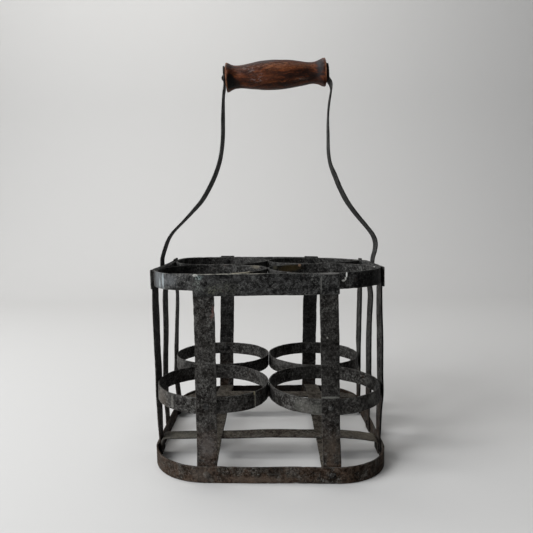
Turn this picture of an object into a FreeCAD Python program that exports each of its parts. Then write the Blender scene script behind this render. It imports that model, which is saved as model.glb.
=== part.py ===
import FreeCAD, Part
import os, math

# Four-bottle wire-and-strap carrier: riveted steel strip cage, bail handle
# with a turned wooden grip.  Millimetres, +Z up.  Origin on the standing
# surface, under the centre of the cage.  -Y is the front, -X the left side.

os.makedirs("parts", exist_ok=True)
V = FreeCAD.Vector

# ---------------------------------------------------------------- dimensions
t = 1.5                      # strip thickness
w = 16.4                     # width of the upright and floor strips
gap = 0.03                   # seat between riveted faces

# top hoop (wraps four rings)
top_a = 106.0                # outer half width, X and Y
top_r = 54.0                 # outer corner radius
top_z1 = 180.8
top_h = 14.4
# bottom hoop (outside the uprights, it is the foot)
bot_ax = 107.65              # outer half width X
bot_ay = 109.70              # outer half width Y
bot_r = 54.0
bot_r_front_left = 50.5      # this corner is bent a little tighter
bot_h = 14.6
# rings
ring_top_R = 52.15
ring_top_c = 52.2
ring_top_z0 = 166.7
ring_top_h = 13.7
ring_mid_R = 52.5
ring_mid_cx = 52.55
ring_mid_cy = 53.3
ring_mid_z0 = 58.7
ring_mid_h = 14.1
seam_gap = 0.8               # open butt seam of the front left bottle ring
# uprights: centres along their side
front_left_x, front_right_x = -54.0, 52.3      # at lean_z
back_left_x, back_right_x = -52.2, 52.9
lean_z = 100.0
w_front_left, w_front_right, w_back = 18.1, 15.9, 17.3
lean_front_right, lean_back = -0.012, 0.025    # sideways run per mm of height
side_front_y = -51.9
side_back_left_y, side_back_right_y = 54.2, 51.0
floor_left_x, floor_right_x = -53.5, 52.6
up_top = 181.0
up_top_back = 182.3           # the back pair stands a little above the hoop
up_top_corner = 182.8         # so do the rear ones of each side
up_bot = 0.8
# reinforcing plates outside the uprights
plate_h = 18.6
plate_z0 = 162.3
# bail
piv_z = 171.5
piv_r = 2.5                  # rivet shank
piv_clear = 0.06
arm_t = 1.5
arm_x = 110.10               # centre plane of the arm feet
rod_r = 2.5
grip_mid = (11.38, 373.89)   # X, Z of the grip centre
grip_tilt = 2.27             # degrees, right end higher
tab_l, tab_r = -53.4, 52.5   # arm tab centre planes along the grip axis
grip_l, grip_r = -51.5, 50.6 # grip end faces
bore_clear = 0.08

nodes = {}

# ------------------------------------------------------------------ helpers
def hoop_wire(ax, ay, rs, z):
    """closed rounded rectangle, rs = radii (front left, front right, back right, back left)"""
    c = [(-ax, -ay, rs[0], 180), (ax, -ay, rs[1], 270), (ax, ay, rs[2], 0), (-ax, ay, rs[3], 90)]
    arcs = []
    for px, py, r, a0 in c:
        cx = px + (r if px < 0 else -r)
        cy = py + (r if py < 0 else -r)
        pts = []
        for a in (a0, a0 + 45, a0 + 90):
            k = math.radians(a)
            pts.append(V(cx + r * math.cos(k), cy + r * math.sin(k), z))
        arcs.append(pts)
    edges = []
    for i, p in enumerate(arcs):
        edges.append(Part.Arc(p[0], p[1], p[2]).toShape())
        q = arcs[(i + 1) % 4][0]
        if p[2].distanceToPoint(q) > 1e-6:
            edges.append(Part.LineSegment(p[2], q).toShape())
    return Part.Wire(edges)

def band(ax, ay, rs, z0, h, th):
    outer = Part.Face(hoop_wire(ax, ay, rs, z0)).extrude(V(0, 0, h))
    inner = Part.Face(hoop_wire(ax - th, ay - th, [r - th for r in rs], z0 - 1)).extrude(V(0, 0, h + 2))
    return outer.cut(inner)

def ring(cx, cy, R, z0, h, th):
    r = Part.makeCylinder(R, h, V(0, 0, z0)).cut(Part.makeCylinder(R - th, h + 2, V(0, 0, z0 - 1)))
    r.rotate(V(0, 0, 0), V(0, 0, 1), 135)      # the closing line lies away from the rivets
    r.translate(V(cx, cy, 0))
    return r

def sag(s):
    """the upright's section follows the hoop where the corner bend begins"""
    s = abs(s) - 52.4
    if s <= 0:
        return 0.0
    return 54.0 - math.sqrt(54.0 ** 2 - s * s)

def upright(side, centre, stations, width=w, lean=0.0, n=8):
    """strip standing against one side; stations = (z, inner face distance)"""
    wires = []
    for z, a in stations:
        c = centre + lean * (z - lean_z)
        ss = [c - width / 2 + width * i / float(n) for i in range(n + 1)]
        pts = [(s, a - sag(s)) for s in ss] + [(s, a + t - sag(s)) for s in reversed(ss)]
        P = []
        for s, d in pts:
            if side == "front":
                P.append(V(s, -d, z))
            elif side == "back":
                P.append(V(s, d, z))
            elif side == "left":
                P.append(V(-d, s, z))
            else:
                P.append(V(d, s, z))
        wires.append(Part.makePolygon(P + [P[0]]))
    return Part.makeLoft(wires, True, True)

def path_strip(start, mid, end, th, lo, hi):
    """flat strip bent along: straight start, smooth middle, straight end.
    Points are (x, z), the width lies on Y from lo to hi."""
    P = [V(p[0], 0, p[1]) for p in [start[1]] + list(mid) + [end[0]]]
    t0 = V(start[1][0] - start[0][0], 0, start[1][1] - start[0][1]); t0.normalize()
    t1 = V(end[1][0] - end[0][0], 0, end[1][1] - end[0][1]); t1.normalize()
    # centripetal blend through the points, sampled evenly
    ext = [P[0] - t0 * P[0].distanceToPoint(P[1])] + P + [P[-1] + t1 * P[-1].distanceToPoint(P[-2])]
    samples = []
    for i in range(1, len(ext) - 2):
        p0, p1, p2, p3 = ext[i - 1], ext[i], ext[i + 1], ext[i + 2]
        m1 = (p2 - p0) * (1.0 / (p1.distanceToPoint(p0) + p2.distanceToPoint(p1))) * p2.distanceToPoint(p1)
        m2 = (p3 - p1) * (1.0 / (p2.distanceToPoint(p1) + p3.distanceToPoint(p2))) * p2.distanceToPoint(p1)
        if i == 1:
            m1 = t0 * p2.distanceToPoint(p1)
        if i == len(ext) - 3:
            m2 = t1 * p2.distanceToPoint(p1)
        for k in (0.0, 0.5):
            h00 = 2 * k ** 3 - 3 * k ** 2 + 1; h10 = k ** 3 - 2 * k ** 2 + k
            h01 = -2 * k ** 3 + 3 * k ** 2; h11 = k ** 3 - k ** 2
            pos = p1 * h00 + m1 * h10 + p2 * h01 + m2 * h11
            d00 = 6 * k ** 2 - 6 * k; d10 = 3 * k ** 2 - 4 * k + 1
            d01 = -6 * k ** 2 + 6 * k; d11 = 3 * k ** 2 - 2 * k
            tan = p1 * d00 + m1 * d10 + p2 * d01 + m2 * d11
            tan.normalize()
            samples.append((pos, tan))
    samples.append((P[-1], t1))
    def off(p, tg, d):
        return V(p.x - tg.z * d, 0, p.z + tg.x * d)
    sides = []
    for d in (th / 2, -th / 2):
        s = V(start[0][0], 0, start[0][1]); e = V(end[1][0], 0, end[1][1])
        sides.append((off(s, t0, d), [off(p, g, d) for p, g in samples], off(e, t1, d)))
    edges = []
    for n, (s, ps, e) in enumerate(sides):
        c = Part.BSplineCurve()
        c.interpolate(Points=ps, InitialTangent=t0, FinalTangent=t1, Scale=True)
        edges.append([Part.LineSegment(s, ps[0]).toShape(), c.toShape(), Part.LineSegment(ps[-1], e).toShape()])
    a, b = edges
    capA = Part.LineSegment(sides[0][0], sides[1][0]).toShape()
    capB = Part.LineSegment(sides[0][2], sides[1][2]).toShape()
    wire = Part.Wire(Part.__sortEdges__(a + [capB] + b + [capA]))
    face = Part.Face(wire)
    solid = face.extrude(V(0, hi - lo, 0))
    solid.translate(V(0, lo, 0))
    return solid

def cyl(p, d, r, h):
    return Part.makeCylinder(r, h, V(*p), V(*d))

def dome(p, d, r, h):
    """low domed head: a spherical cap with a flat base at p, swelling along d"""
    R = (r * r + h * h) / (2 * h)
    base = V(*p); ax = V(*d); ax.normalize()
    centre = base - ax * (R - h)
    ball = Part.makeSphere(R, centre)
    keep = Part.makeCylinder(r + 1, h + 1, base, ax)
    return ball.common(keep)

def cut_all(names, tool):
    for n in names:
        nodes[n] = nodes[n].cut(tool)

def one(shape):
    if shape.ShapeType != "Solid" and len(shape.Solids) == 1:
        return shape.Solids[0]
    return shape

# ------------------------------------------------------------- hoops, rings
nodes["top_hoop"] = band(top_a, top_a, [top_r] * 4, top_z1 - top_h, top_h, t)
nodes["bottom_hoop"] = band(bot_ax, bot_ay, [bot_r_front_left, bot_r, bot_r, bot_r], 0.0, bot_h, t)

for name, sx, sy in (("front_left", -1, -1), ("front_right", 1, -1), ("back_left", -1, 1), ("back_right", 1, 1)):
    nodes["upper_ring_" + name] = ring(sx * ring_top_c, sy * ring_top_c, ring_top_R, ring_top_z0, ring_top_h, t)
    nodes["lower_ring_" + name] = ring(sx * ring_mid_cx, sy * ring_mid_cy, ring_mid_R, ring_mid_z0, ring_mid_h, t)
# open seam in the front left bottle ring, facing front and inwards
k = math.radians(-38.8)
slot = Part.makeBox(8, seam_gap, ring_mid_h + 2, V(ring_mid_R - 5, -seam_gap / 2, ring_mid_z0 - 1))
slot.rotate(V(0, 0, 0), V(0, 0, 1), -38.8)
slot.translate(V(-ring_mid_cx, -ring_mid_cy, 0))
nodes["lower_ring_front_left"] = nodes["lower_ring_front_left"].cut(slot)

# ----------------------------------------------------------------- uprights
a_top = top_a + gap
ax_bot = bot_ax - t - gap - t      # inner face of side uprights at the foot
ay_bot = bot_ay - t - gap - t
ax_mid = ring_mid_cx + ring_mid_R + 0.30
def st_x(top):
    return [(up_bot, ax_bot), (17.0, ax_bot), (57.0, ax_mid), (75.0, ax_mid), (160.0, a_top), (top, a_top)]
def st_y(top):
    return [(up_bot, ay_bot), (17.0, ay_bot), (57.0, a_top), (top, a_top)]
nodes["upright_front_left"] = upright("front", front_left_x, st_y(up_top), w_front_left, 0.0, 9)
nodes["upright_front_right"] = upright("front", front_right_x, st_y(up_top), w_front_right, lean_front_right, 9)
nodes["upright_back_left"] = upright("back", back_left_x, st_y(up_top_back), w_back, lean_back, 9)
nodes["upright_back_right"] = upright("back", back_right_x, st_y(up_top_back), w_back, lean_back, 9)
nodes["upright_left_front"] = upright("left", side_front_y, st_x(up_top))
nodes["upright_left_back"] = upright("left", side_back_left_y, st_x(up_top_corner))
nodes["upright_right_front"] = upright("right", side_front_y, st_x(up_top))
nodes["upright_right_back"] = upright("right", side_back_right_y, st_x(up_top_corner))
# middle stays under the handle pivots; the left one passes outside the foot
# hoop, the right one inside it
xm = a_top + t / 2
xl = bot_ax + gap + t / 2
xr = bot_ax - t - gap - t / 2
nodes["stay_left_middle"] = path_strip(((-xm, up_top), (-xm, 158.0)),
    [(-107.1, 140.0), (-107.5, 112.0), (-108.4, 80.0), (-109.1, 50.0), (-109.1, 32.0)],
    ((-xl, 18.0), (-xl, up_bot)), t, -w / 2, w / 2)
nodes["stay_right_middle"] = path_strip(((xm, up_top), (xm, 159.0)),
    [(107.9, 144.0), (107.7, 112.0), (107.2, 80.0), (107.0, 54.0), (106.3, 34.0)],
    ((xr, 18.0), (xr, up_bot)), t, -w / 2, w / 2)

# ------------------------------------------------------------- floor strips
# bridges with turned-down ends, woven over and under where they cross
ex = ax_bot - gap - t / 2
ey = ay_bot - gap - t / 2
def floor_strip(e, zs, lo, hi, plane, z_low=2.4, r=4.2):
    """zs: heights of the middle surface at the ends, the quarter points, both
    crossings and the middle; the ends turn down on a bend of radius r"""
    zl, z1, z2, z3, z4, z5, zr = zs
    knots = [(-(e - r), zl), (-86.0, z1), (-62.5, z2), (-44.5, z2), (0.0, z3), (44.5, z4), (62.5, z4), (86.0, z5), (e - r, zr)]
    n = len(knots)
    m = [0.0] * n
    for i in range(1, n - 1):
        s0 = (knots[i][1] - knots[i - 1][1]) / (knots[i][0] - knots[i - 1][0])
        s1 = (knots[i + 1][1] - knots[i][1]) / (knots[i + 1][0] - knots[i][0])
        m[i] = 0.0 if s0 * s1 <= 0 else 2 * s0 * s1 / (s0 + s1)
    line = [(-e, z_low)]
    for i in range(0, 9):
        k = math.radians(180 - 90 * i / 8.0)
        line.append((-(e - r) + r * math.cos(k), zl - r + r * math.sin(k)))
    for i in range(n - 1):
        (x0, y0), (x1, y1) = knots[i], knots[i + 1]
        d = x1 - x0
        steps = max(2, int(d / 5.0))
        for j in range(1, steps + 1):
            k = j / float(steps)
            y = y0 * (2 * k ** 3 - 3 * k ** 2 + 1) + m[i] * d * (k ** 3 - 2 * k ** 2 + k) + y1 * (-2 * k ** 3 + 3 * k ** 2) + m[i + 1] * d * (k ** 3 - k ** 2)
            line.append((x0 + d * k, y))
    for i in range(1, 9):
        k = math.radians(90 - 90 * i / 8.0)
        line.append(((e - r) + r * math.cos(k), zr - r + r * math.sin(k)))
    line.append((e, z_low))
    def shifted(dist):
        out = []
        for i, (x, z) in enumerate(line):
            x0, z0 = line[max(0, i - 1)]; x1, z1_ = line[min(len(line) - 1, i + 1)]
            def unit(ax, az):
                q = math.hypot(ax, az)
                return (ax / q, az / q) if q > 1e-9 else None
            d0 = unit(x - x0, z - z0); d1 = unit(x1 - x, z1_ - z)
            d0 = d0 or d1; d1 = d1 or d0
            tx, tz = unit(d0[0] + d1[0], d0[1] + d1[1])
            c = tx * d1[0] + tz * d1[1]
            out.append(V(x - tz * dist / c, lo, z + tx * dist / c))
        return out
    pts = shifted(t / 2) + list(reversed(shifted(-t / 2)))
    solid = Part.Face(Part.makePolygon(pts + [pts[0]])).extrude(V(0, hi - lo, 0))
    if plane == "y":         # turned a quarter: the run lies along Y, the width on X
        solid.rotate(V(0, 0, 0), V(0, 0, 1), 90)
    return solid
fy, by = -51.9, 52.6
nodes["floor_strip_front"] = floor_strip(ex, (18.0, 18.2, 18.4, 19.6, 19.2, 17.2, 15.4), fy - w / 2, fy + w / 2, "x")
nodes["floor_strip_back"] = floor_strip(ex, (18.2, 21.2, 23.4, 22.9, 21.4, 20.0, 18.0), by - w / 2, by + w / 2, "x")
# plane 'y': the strip is turned 90 degrees, so width lo..hi lands on X as -hi..-lo
nodes["floor_strip_left"] = floor_strip(ey, (15.2, 18.2, 20.2, 20.9, 21.4, 19.0, 16.6), -(floor_left_x + w / 2), -(floor_left_x - w / 2), "y")
nodes["floor_strip_right"] = floor_strip(ey, (14.0, 16.2, 17.2, 20.4, 23.4, 20.2, 17.0), -(floor_right_x + w / 2), -(floor_right_x - w / 2), "y")

# the turned-down ends bed against the uprights behind them
for n, ups in (("front", ("left_front", "right_front")), ("back", ("left_back", "right_back")),
               ("left", ("front_left", "back_left")), ("right", ("front_right", "back_right"))):
    for u in ups:
        nodes["floor_strip_" + n] = nodes["floor_strip_" + n].cut(nodes["upright_" + u])

# ------------------------------------------------------------------- plates
p0 = a_top + t + gap
def plate(side, s0, s1):
    d = s1 - s0
    if side == "front":
        return Part.makeBox(d, t, plate_h, V(s0, -p0 - t, plate_z0))
    if side == "back":
        return Part.makeBox(d, t, plate_h, V(s0, p0, plate_z0))
    if side == "left":
        return Part.makeBox(t, d, plate_h, V(-p0 - t, s0, plate_z0))
    return Part.makeBox(t, d, plate_h, V(p0, s0, plate_z0))
nodes["plate_front"] = plate("front", -62.6, 60.4)
nodes["plate_back"] = plate("back", -61.8, 61.8)
nodes["plate_left"] = plate("left", -60.6, 63.6)
nodes["plate_right"] = plate("right", -60.6, 61.2)

# --------------------------------------------------------------------- bail
ga = math.radians(grip_tilt)
gx, gz = math.cos(ga), math.sin(ga)
def on_axis(u, n=0.0):
    """point u along the grip axis and n across it, upwards"""
    return (grip_mid[0] + u * gx - n * gz, grip_mid[1] + u * gz + n * gx)
lt0, lt1 = on_axis(tab_l, -7.0), on_axis(tab_l, 3.4)
rt0, rt1 = on_axis(tab_r, -6.2), on_axis(tab_r, 0.6)
left_mid = [(-109.7, 188.0), (-108.7, 191.8), (-106.45, 198.6), (-103.3, 206.8), (-97.8, 215.1), (-87.7, 225.2), (-77.5, 235.6),
            (-67.6, 246.6), (-59.8, 259.2), (-53.1, 272.4), (-48.2, 286.4), (-45.5, 299.4), (-44.2, 313.0),
            (-43.9, 328.5), (-43.5, 343.5), (-42.9, 355.0)]
right_mid = [(110.7, 186.0), (112.6, 192.5), (113.3, 200.6), (110.8, 208.6), (104.3, 217.8), (94.9, 229.6),
             (84.4, 243.8), (76.8, 257.6), (71.1, 271.0), (66.4, 283.0), (64.5, 296.0), (64.3, 312.0),
             (64.3, 329.0), (65.3, 343.0), (67.0, 354.9), (67.7, 361.0), (66.7, 365.4)]
def arm(side, mid, tab0, tab1, u):
    s = -1 if side == "left" else 1
    body = path_strip(((s * arm_x, piv_z), (s * arm_x, 184.0 if side == "left" else 180.0)), mid,
                      (tab0, tab1), arm_t, -w / 2, w / 2)
    foot = cyl((s * arm_x - arm_t / 2, 0, piv_z), (1, 0, 0), w / 2, arm_t)
    q = tab1
    head = cyl((q[0] - gx * arm_t / 2, 0, q[1] - gz * arm_t / 2), (gx, 0, gz), w / 2, arm_t)
    b = body.fuse(foot).fuse(head).removeSplitter()
    b = b.cut(cyl((s * arm_x - 5, 0, piv_z), (1, 0, 0), piv_r + piv_clear, 10))
    c = on_axis(u - 5)
    b = b.cut(cyl((c[0], 0, c[1]), (gx, 0, gz), rod_r, 10))
    return one(b)
nodes["bail_arm_left"] = arm("left", left_mid, lt0, lt1, tab_l)
nodes["bail_arm_right"] = arm("right", right_mid, rt0, rt1, tab_r)

# rod through the grip, riveted over outside both tabs
ul, ur = tab_l - arm_t / 2, tab_r + arm_t / 2
c = on_axis(ul - 0.5)
rod = cyl((c[0], 0, c[1]), (gx, 0, gz), rod_r, (ur + 0.4) - (ul - 0.5))
c = on_axis(ul)
rod = rod.fuse(dome((c[0], 0, c[1]), (-gx, 0, -gz), 3.3, 2.2))
c = on_axis(ur)
rod = rod.fuse(dome((c[0], 0, c[1]), (gx, 0, gz), 3.2, 1.0))
nodes["grip_rod"] = one(rod.removeSplitter())

# turned wooden grip: flared ends, waists, a full belly
prof = [(grip_l, 12.3), (grip_l + 0.35, 13.5), (grip_l + 1.5, 14.15), (grip_l + 3.0, 13.75), (-45.6, 12.35), (-42.6, 11.45),
        (-38.5, 11.2), (-33.0, 11.55), (-26.5, 12.5), (-17.0, 13.85), (-6.0, 14.5), (3.0, 14.4), (10.5, 14.05),
        (19.0, 13.05), (27.0, 11.75), (34.2, 10.75), (39.0, 10.75), (43.2, 11.7), (46.4, 12.95),
        (grip_r - 1.5, 13.65), (grip_r - 0.35, 13.1), (grip_r, 11.9)]
c = Part.BSplineCurve()
c.interpolate([V(u, r, 0) for u, r in prof])
br = rod_r + bore_clear
e1 = Part.LineSegment(V(grip_l, br, 0), V(grip_l, prof[0][1], 0)).toShape()
e2 = c.toShape()
e3 = Part.LineSegment(V(grip_r, prof[-1][1], 0), V(grip_r, br, 0)).toShape()
e4 = Part.LineSegment(V(grip_r, br, 0), V(grip_l, br, 0)).toShape()
grip = Part.Face(Part.Wire([e1, e2, e3, e4])).revolve(V(0, 0, 0), V(1, 0, 0), 360)
grip.rotate(V(0, 0, 0), V(0, 1, 0), -grip_tilt)
grip.translate(V(grip_mid[0], 0, grip_mid[1]))
nodes["wooden_grip"] = one(grip)

# ------------------------------------------------------------------- rivets
def rivet(p_in, d, length, r, head_in, head_out, through):
    """shank from p_in along d (outwards); heads (radius, height) or None; holes are cut in 'through'"""
    p = V(*p_in); dd = V(*d)
    shank = Part.makeCylinder(r, length, p, dd)
    cut_all(through, Part.makeCylinder(r, length + 2, p - dd, dd))
    s = shank
    if head_in:
        h = dome((p.x, p.y, p.z), (-dd.x, -dd.y, -dd.z), head_in[0], head_in[1])
        # the head beds on the curved strip: a short collar trimmed by the strips below it
        h = h.fuse(Part.makeCylinder(head_in[0], 0.5, p, dd))
        s = s.fuse(h)
    if head_out:
        q = p + dd * length
        s = s.fuse(dome((q.x, q.y, q.z), (dd.x, dd.y, dd.z), head_out[0], head_out[1]))
    for n in through:
        s = s.cut(nodes[n])
    s = s.removeSplitter()
    big = max(s.Solids, key=lambda q: q.Volume)
    return big

def compound(lst):
    return Part.makeCompound(lst)

D = {"front": (0, -1, 0), "back": (0, 1, 0), "left": (-1, 0, 0), "right": (1, 0, 0)}
def at(side, s, dist, z):
    return {"front": (s, -dist, z), "back": (s, dist, z), "left": (-dist, s, z), "right": (dist, s, z)}[side]

rz = top_z1 - top_h / 2
top_in = ring_top_c + ring_top_R - t
def fr_x(z):
    return front_right_x + lean_front_right * (z - lean_z)
def bl_x(z):
    return back_left_x + lean_back * (z - lean_z)
def br_x(z):
    return back_right_x + lean_back * (z - lean_z)
group = []
for side, s, ringname, up, pl in (
        ("front", -53.2, "front_left", "upright_front_left", "plate_front"),
        ("front", 50.8, "front_right", "upright_front_right", "plate_front"),
        ("back", bl_x(rz), "back_left", "upright_back_left", "plate_back"),
        ("back", br_x(rz), "back_right", "upright_back_right", "plate_back"),
        ("left", side_front_y, "front_left", "upright_left_front", "plate_left"),
        ("left", side_back_left_y, "back_left", "upright_left_back", "plate_left"),
        ("right", side_front_y, "front_right", "upright_right_front", "plate_right"),
        ("right", side_back_right_y, "back_right", "upright_right_back", "plate_right")):
    group.append(rivet(at(side, s, top_in, rz), D[side], p0 + t - top_in, 2.0, (4.4, 2.0), (3.1, 0.75),
                       ["upper_ring_" + ringname, "top_hoop", up, pl]))
nodes["rivets_top"] = compound(group)

mz = ring_mid_z0 + ring_mid_h / 2
group = []
for side, s, ringname, up in (
        ("front", front_left_x, "front_left", "upright_front_left"),
        ("front", fr_x(mz), "front_right", "upright_front_right"),
        ("back", bl_x(mz), "back_left", "upright_back_left"),
        ("back", br_x(mz), "back_right", "upright_back_right"),
        ("left", side_front_y, "front_left", "upright_left_front"),
        ("left", side_back_left_y, "back_left", "upright_left_back"),
        ("right", side_front_y, "front_right", "upright_right_front"),
        ("right", side_back_right_y, "back_right", "upright_right_back")):
    cc = ring_mid_cy if side in ("front", "back") else ring_mid_cx
    r_in = cc + ring_mid_R - t
    face = (a_top if side in ("front", "back") else ax_mid) + t
    group.append(rivet(at(side, s, r_in, mz), D[side], face - r_in + 0.02, 1.9, (3.9, 1.8), (2.6, 0.4),
                       ["lower_ring_" + ringname, up]))
nodes["rivets_lower_rings"] = compound(group)

bz = bot_h / 2
group = []
for side, s, fl, up in (
        ("front", front_left_x, "floor_strip_left", "upright_front_left"),
        ("front", fr_x(bz), "floor_strip_right", "upright_front_right"),
        ("back", bl_x(bz), "floor_strip_left", "upright_back_left"),
        ("back", br_x(bz), "floor_strip_right", "upright_back_right"),
        ("left", side_front_y, "floor_strip_front", "upright_left_front"),
        ("left", side_back_left_y, "floor_strip_back", "upright_left_back"),
        ("right", side_front_y, "floor_strip_front", "upright_right_front"),
        ("right", side_back_right_y, "floor_strip_back", "upright_right_back")):
    e = ey if side in ("front", "back") else ex
    face = bot_ay if side in ("front", "back") else bot_ax
    r_in = e - t / 2
    group.append(rivet(at(side, s, r_in, bz), D[side], face - r_in, 2.0, (3.8, 1.5), (3.0, 0.8),
                       [fl, up, "bottom_hoop"]))
group.append(rivet(at("left", 0.0, bot_ax - t, bz), D["left"], xl + t / 2 - bot_ax + t, 2.0, (3.6, 1.4), (3.0, 0.8),
                   ["bottom_hoop", "stay_left_middle"]))
group.append(rivet(at("right", 0.0, xr - t / 2, bz), D["right"], bot_ax - xr + t / 2, 2.0, (3.6, 1.4), (3.0, 0.8),
                   ["stay_right_middle", "bottom_hoop"]))
nodes["rivets_foot"] = compound(group)

# handle pivots: fixed in the cage, the arm turns on the shank under the outer head
for side in ("left", "right"):
    r_in = top_a - t
    end = arm_x + arm_t / 2 + 0.2
    p = V(*at(side, 0.0, r_in, piv_z)); dd = V(*D[side])
    thr = ["top_hoop", "stay_%s_middle" % side, "plate_" + side]
    cut_all(thr, Part.makeCylinder(piv_r, end - r_in + 2, p - dd, dd))
    s = Part.makeCylinder(piv_r, end - r_in, p, dd)
    s = s.fuse(dome((p.x, p.y, p.z), (-dd.x, -dd.y, -dd.z), 4.8, 2.2))
    q = p + dd * (end - r_in)
    s = s.fuse(dome((q.x, q.y, q.z), (dd.x, dd.y, dd.z), 5.0, 2.1))
    nodes["pivot_rivet_" + side] = one(s.removeSplitter())

# ------------------------------------------------------------------- export
for name, shape in nodes.items():
    shape = one(shape)
    nodes[name] = shape
    ok = shape.isValid()
    print("%-26s solids %d  valid %s  vol %.1f" % (name, len(shape.Solids), ok, shape.Volume))
    shape.exportStep("parts/%s.step" % name)
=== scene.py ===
import bpy
import bmesh
import math
import numpy as np
from mathutils import Matrix, Vector


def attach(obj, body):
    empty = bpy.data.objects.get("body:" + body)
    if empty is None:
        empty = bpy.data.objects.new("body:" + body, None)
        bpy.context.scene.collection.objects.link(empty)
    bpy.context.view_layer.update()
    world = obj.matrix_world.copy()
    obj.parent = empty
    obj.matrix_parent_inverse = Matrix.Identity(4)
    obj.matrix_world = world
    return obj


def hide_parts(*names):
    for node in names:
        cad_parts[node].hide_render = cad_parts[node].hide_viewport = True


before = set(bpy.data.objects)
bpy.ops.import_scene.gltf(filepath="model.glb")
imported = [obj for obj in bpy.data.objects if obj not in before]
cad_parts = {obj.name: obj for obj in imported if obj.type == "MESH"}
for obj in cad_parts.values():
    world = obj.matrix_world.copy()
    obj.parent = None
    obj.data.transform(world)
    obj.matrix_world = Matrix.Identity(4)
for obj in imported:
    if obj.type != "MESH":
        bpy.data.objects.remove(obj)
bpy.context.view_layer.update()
scene = bpy.context.scene

# Everything below is worked out in millimetres and written to the meshes in metres.

# ------------------------------------------------------------- dimensions
T = 1.5                                # strip thickness
W = 16.4                               # strip width
GAP = 0.03
TOP_A, TOP_R, TOP_Z1, TOP_H = 106.0, 54.0, 180.8, 14.4
BOT_AX, BOT_AY, BOT_H = 107.65, 109.70, 14.6
BOT_RS = (52.5, 50.0, 54.0, 54.0)      # front left, front right, back right, back left
RT_R, RT_C, RT_Z0, RT_H = 52.15, 52.2, 166.7, 13.7
RM_R, RM_CX, RM_CY, RM_Z0, RM_H = 52.5, 52.55, 53.3, 58.7, 14.1
UP_BOT = 0.8
A_TOP = TOP_A + GAP
AX_BOT = BOT_AX - T - GAP - T
AY_BOT = BOT_AY - T - GAP - T
AX_MID = RM_CX + RM_R + 0.30
P0 = TOP_A + T + GAP
PIV_Z = 171.5
ARM_X = 110.10
GRIP_MID = (11.38, 373.89)
GRIP_TILT = math.radians(2.27)
GX, GZ = math.cos(GRIP_TILT), math.sin(GRIP_TILT)


# ----------------------------------------------------------- smooth fields
class Waves:
    """a seeded smooth field of about unit size: plane waves of random direction"""

    def __init__(self, seed, n, lmin, lmax):
        r = np.random.default_rng(seed)
        d = r.normal(size=(n, 3))
        d /= np.linalg.norm(d, axis=1)[:, None]
        lam = r.uniform(lmin, lmax, size=n)
        self.q = d * (2 * np.pi / lam)[:, None]
        self.p = r.uniform(0, 2 * np.pi, size=n)
        self.k = math.sqrt(2.0 / n)

    def __call__(self, X):
        return self.k * np.sin(X @ self.q.T + self.p).sum(-1)


BEND = [Waves(11 + i, 14, 60, 150) for i in range(3)]
DENT = [Waves(31 + i, 18, 24, 46) for i in range(3)]
NICK = Waves(51, 26, 3.5, 16)
NICK2 = Waves(53, 20, 1.6, 4.0)
THIN = Waves(57, 20, 9, 30)


def ease(v, a, b):
    k = np.clip((v - a) / (b - a), 0, 1)
    return k * k * (3 - 2 * k)


# local pushes of the whole cage: centre, reach, displacement
PUSH = [((-105, 54, 66), (30, 24, 30), (-2.2, 0, 0)), ((105, 51, 66), (30, 24, 30), (-0.9, 0, 0)),
        ((105, -52, 66), (30, 24, 30), (1.0, 0, 0)), ((-106, -62, 174), (24, 26, 24), (-0.8, 0, 0))]


def skew(X):
    """the cage is bent out of true by hand: the rings lean to the right, the foot is drawn forward at its right
    corner and the rim rises at the back left"""
    x, y, z = X[..., 0], X[..., 1], X[..., 2]
    D = np.zeros_like(X)
    back = ease(y, 15, 95)
    D[..., 2] += ease(z, 115, 160) * (1 - ease(z, 186, 200)) * back * (-0.018 * x)
    ring = np.exp(-0.5 * ((z - 66) / 18.0) ** 2)
    half = ease(y, -40, 40)
    D[..., 2] += ring * ((1 - half) * (-0.25 - 0.022 * x) + half * (-0.8 - 0.014 * x))
    low = 1 - ease(z, 16, 56)
    D[..., 1] += low * ease(-y, 15, 85) * np.clip(-1.2 - 0.040 * x, -3.5, 1.2)
    for c, r, d in PUSH:
        g = np.exp(-0.5 * (((X - np.array(c, float)) / np.array(r, float)) ** 2).sum(-1))
        D += g[..., None] * np.array(d, float)
    return D


def settle(X, amount=1.0, cage=True):
    """old strip metal is never quite straight: one field for all pieces, so that riveted layers stay together"""
    D = np.stack([0.20 * BEND[i](X) + 0.085 * DENT[i](X) for i in range(3)], -1)
    if cage:
        return X + amount * D + skew(X)
    return X + amount * D


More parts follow.
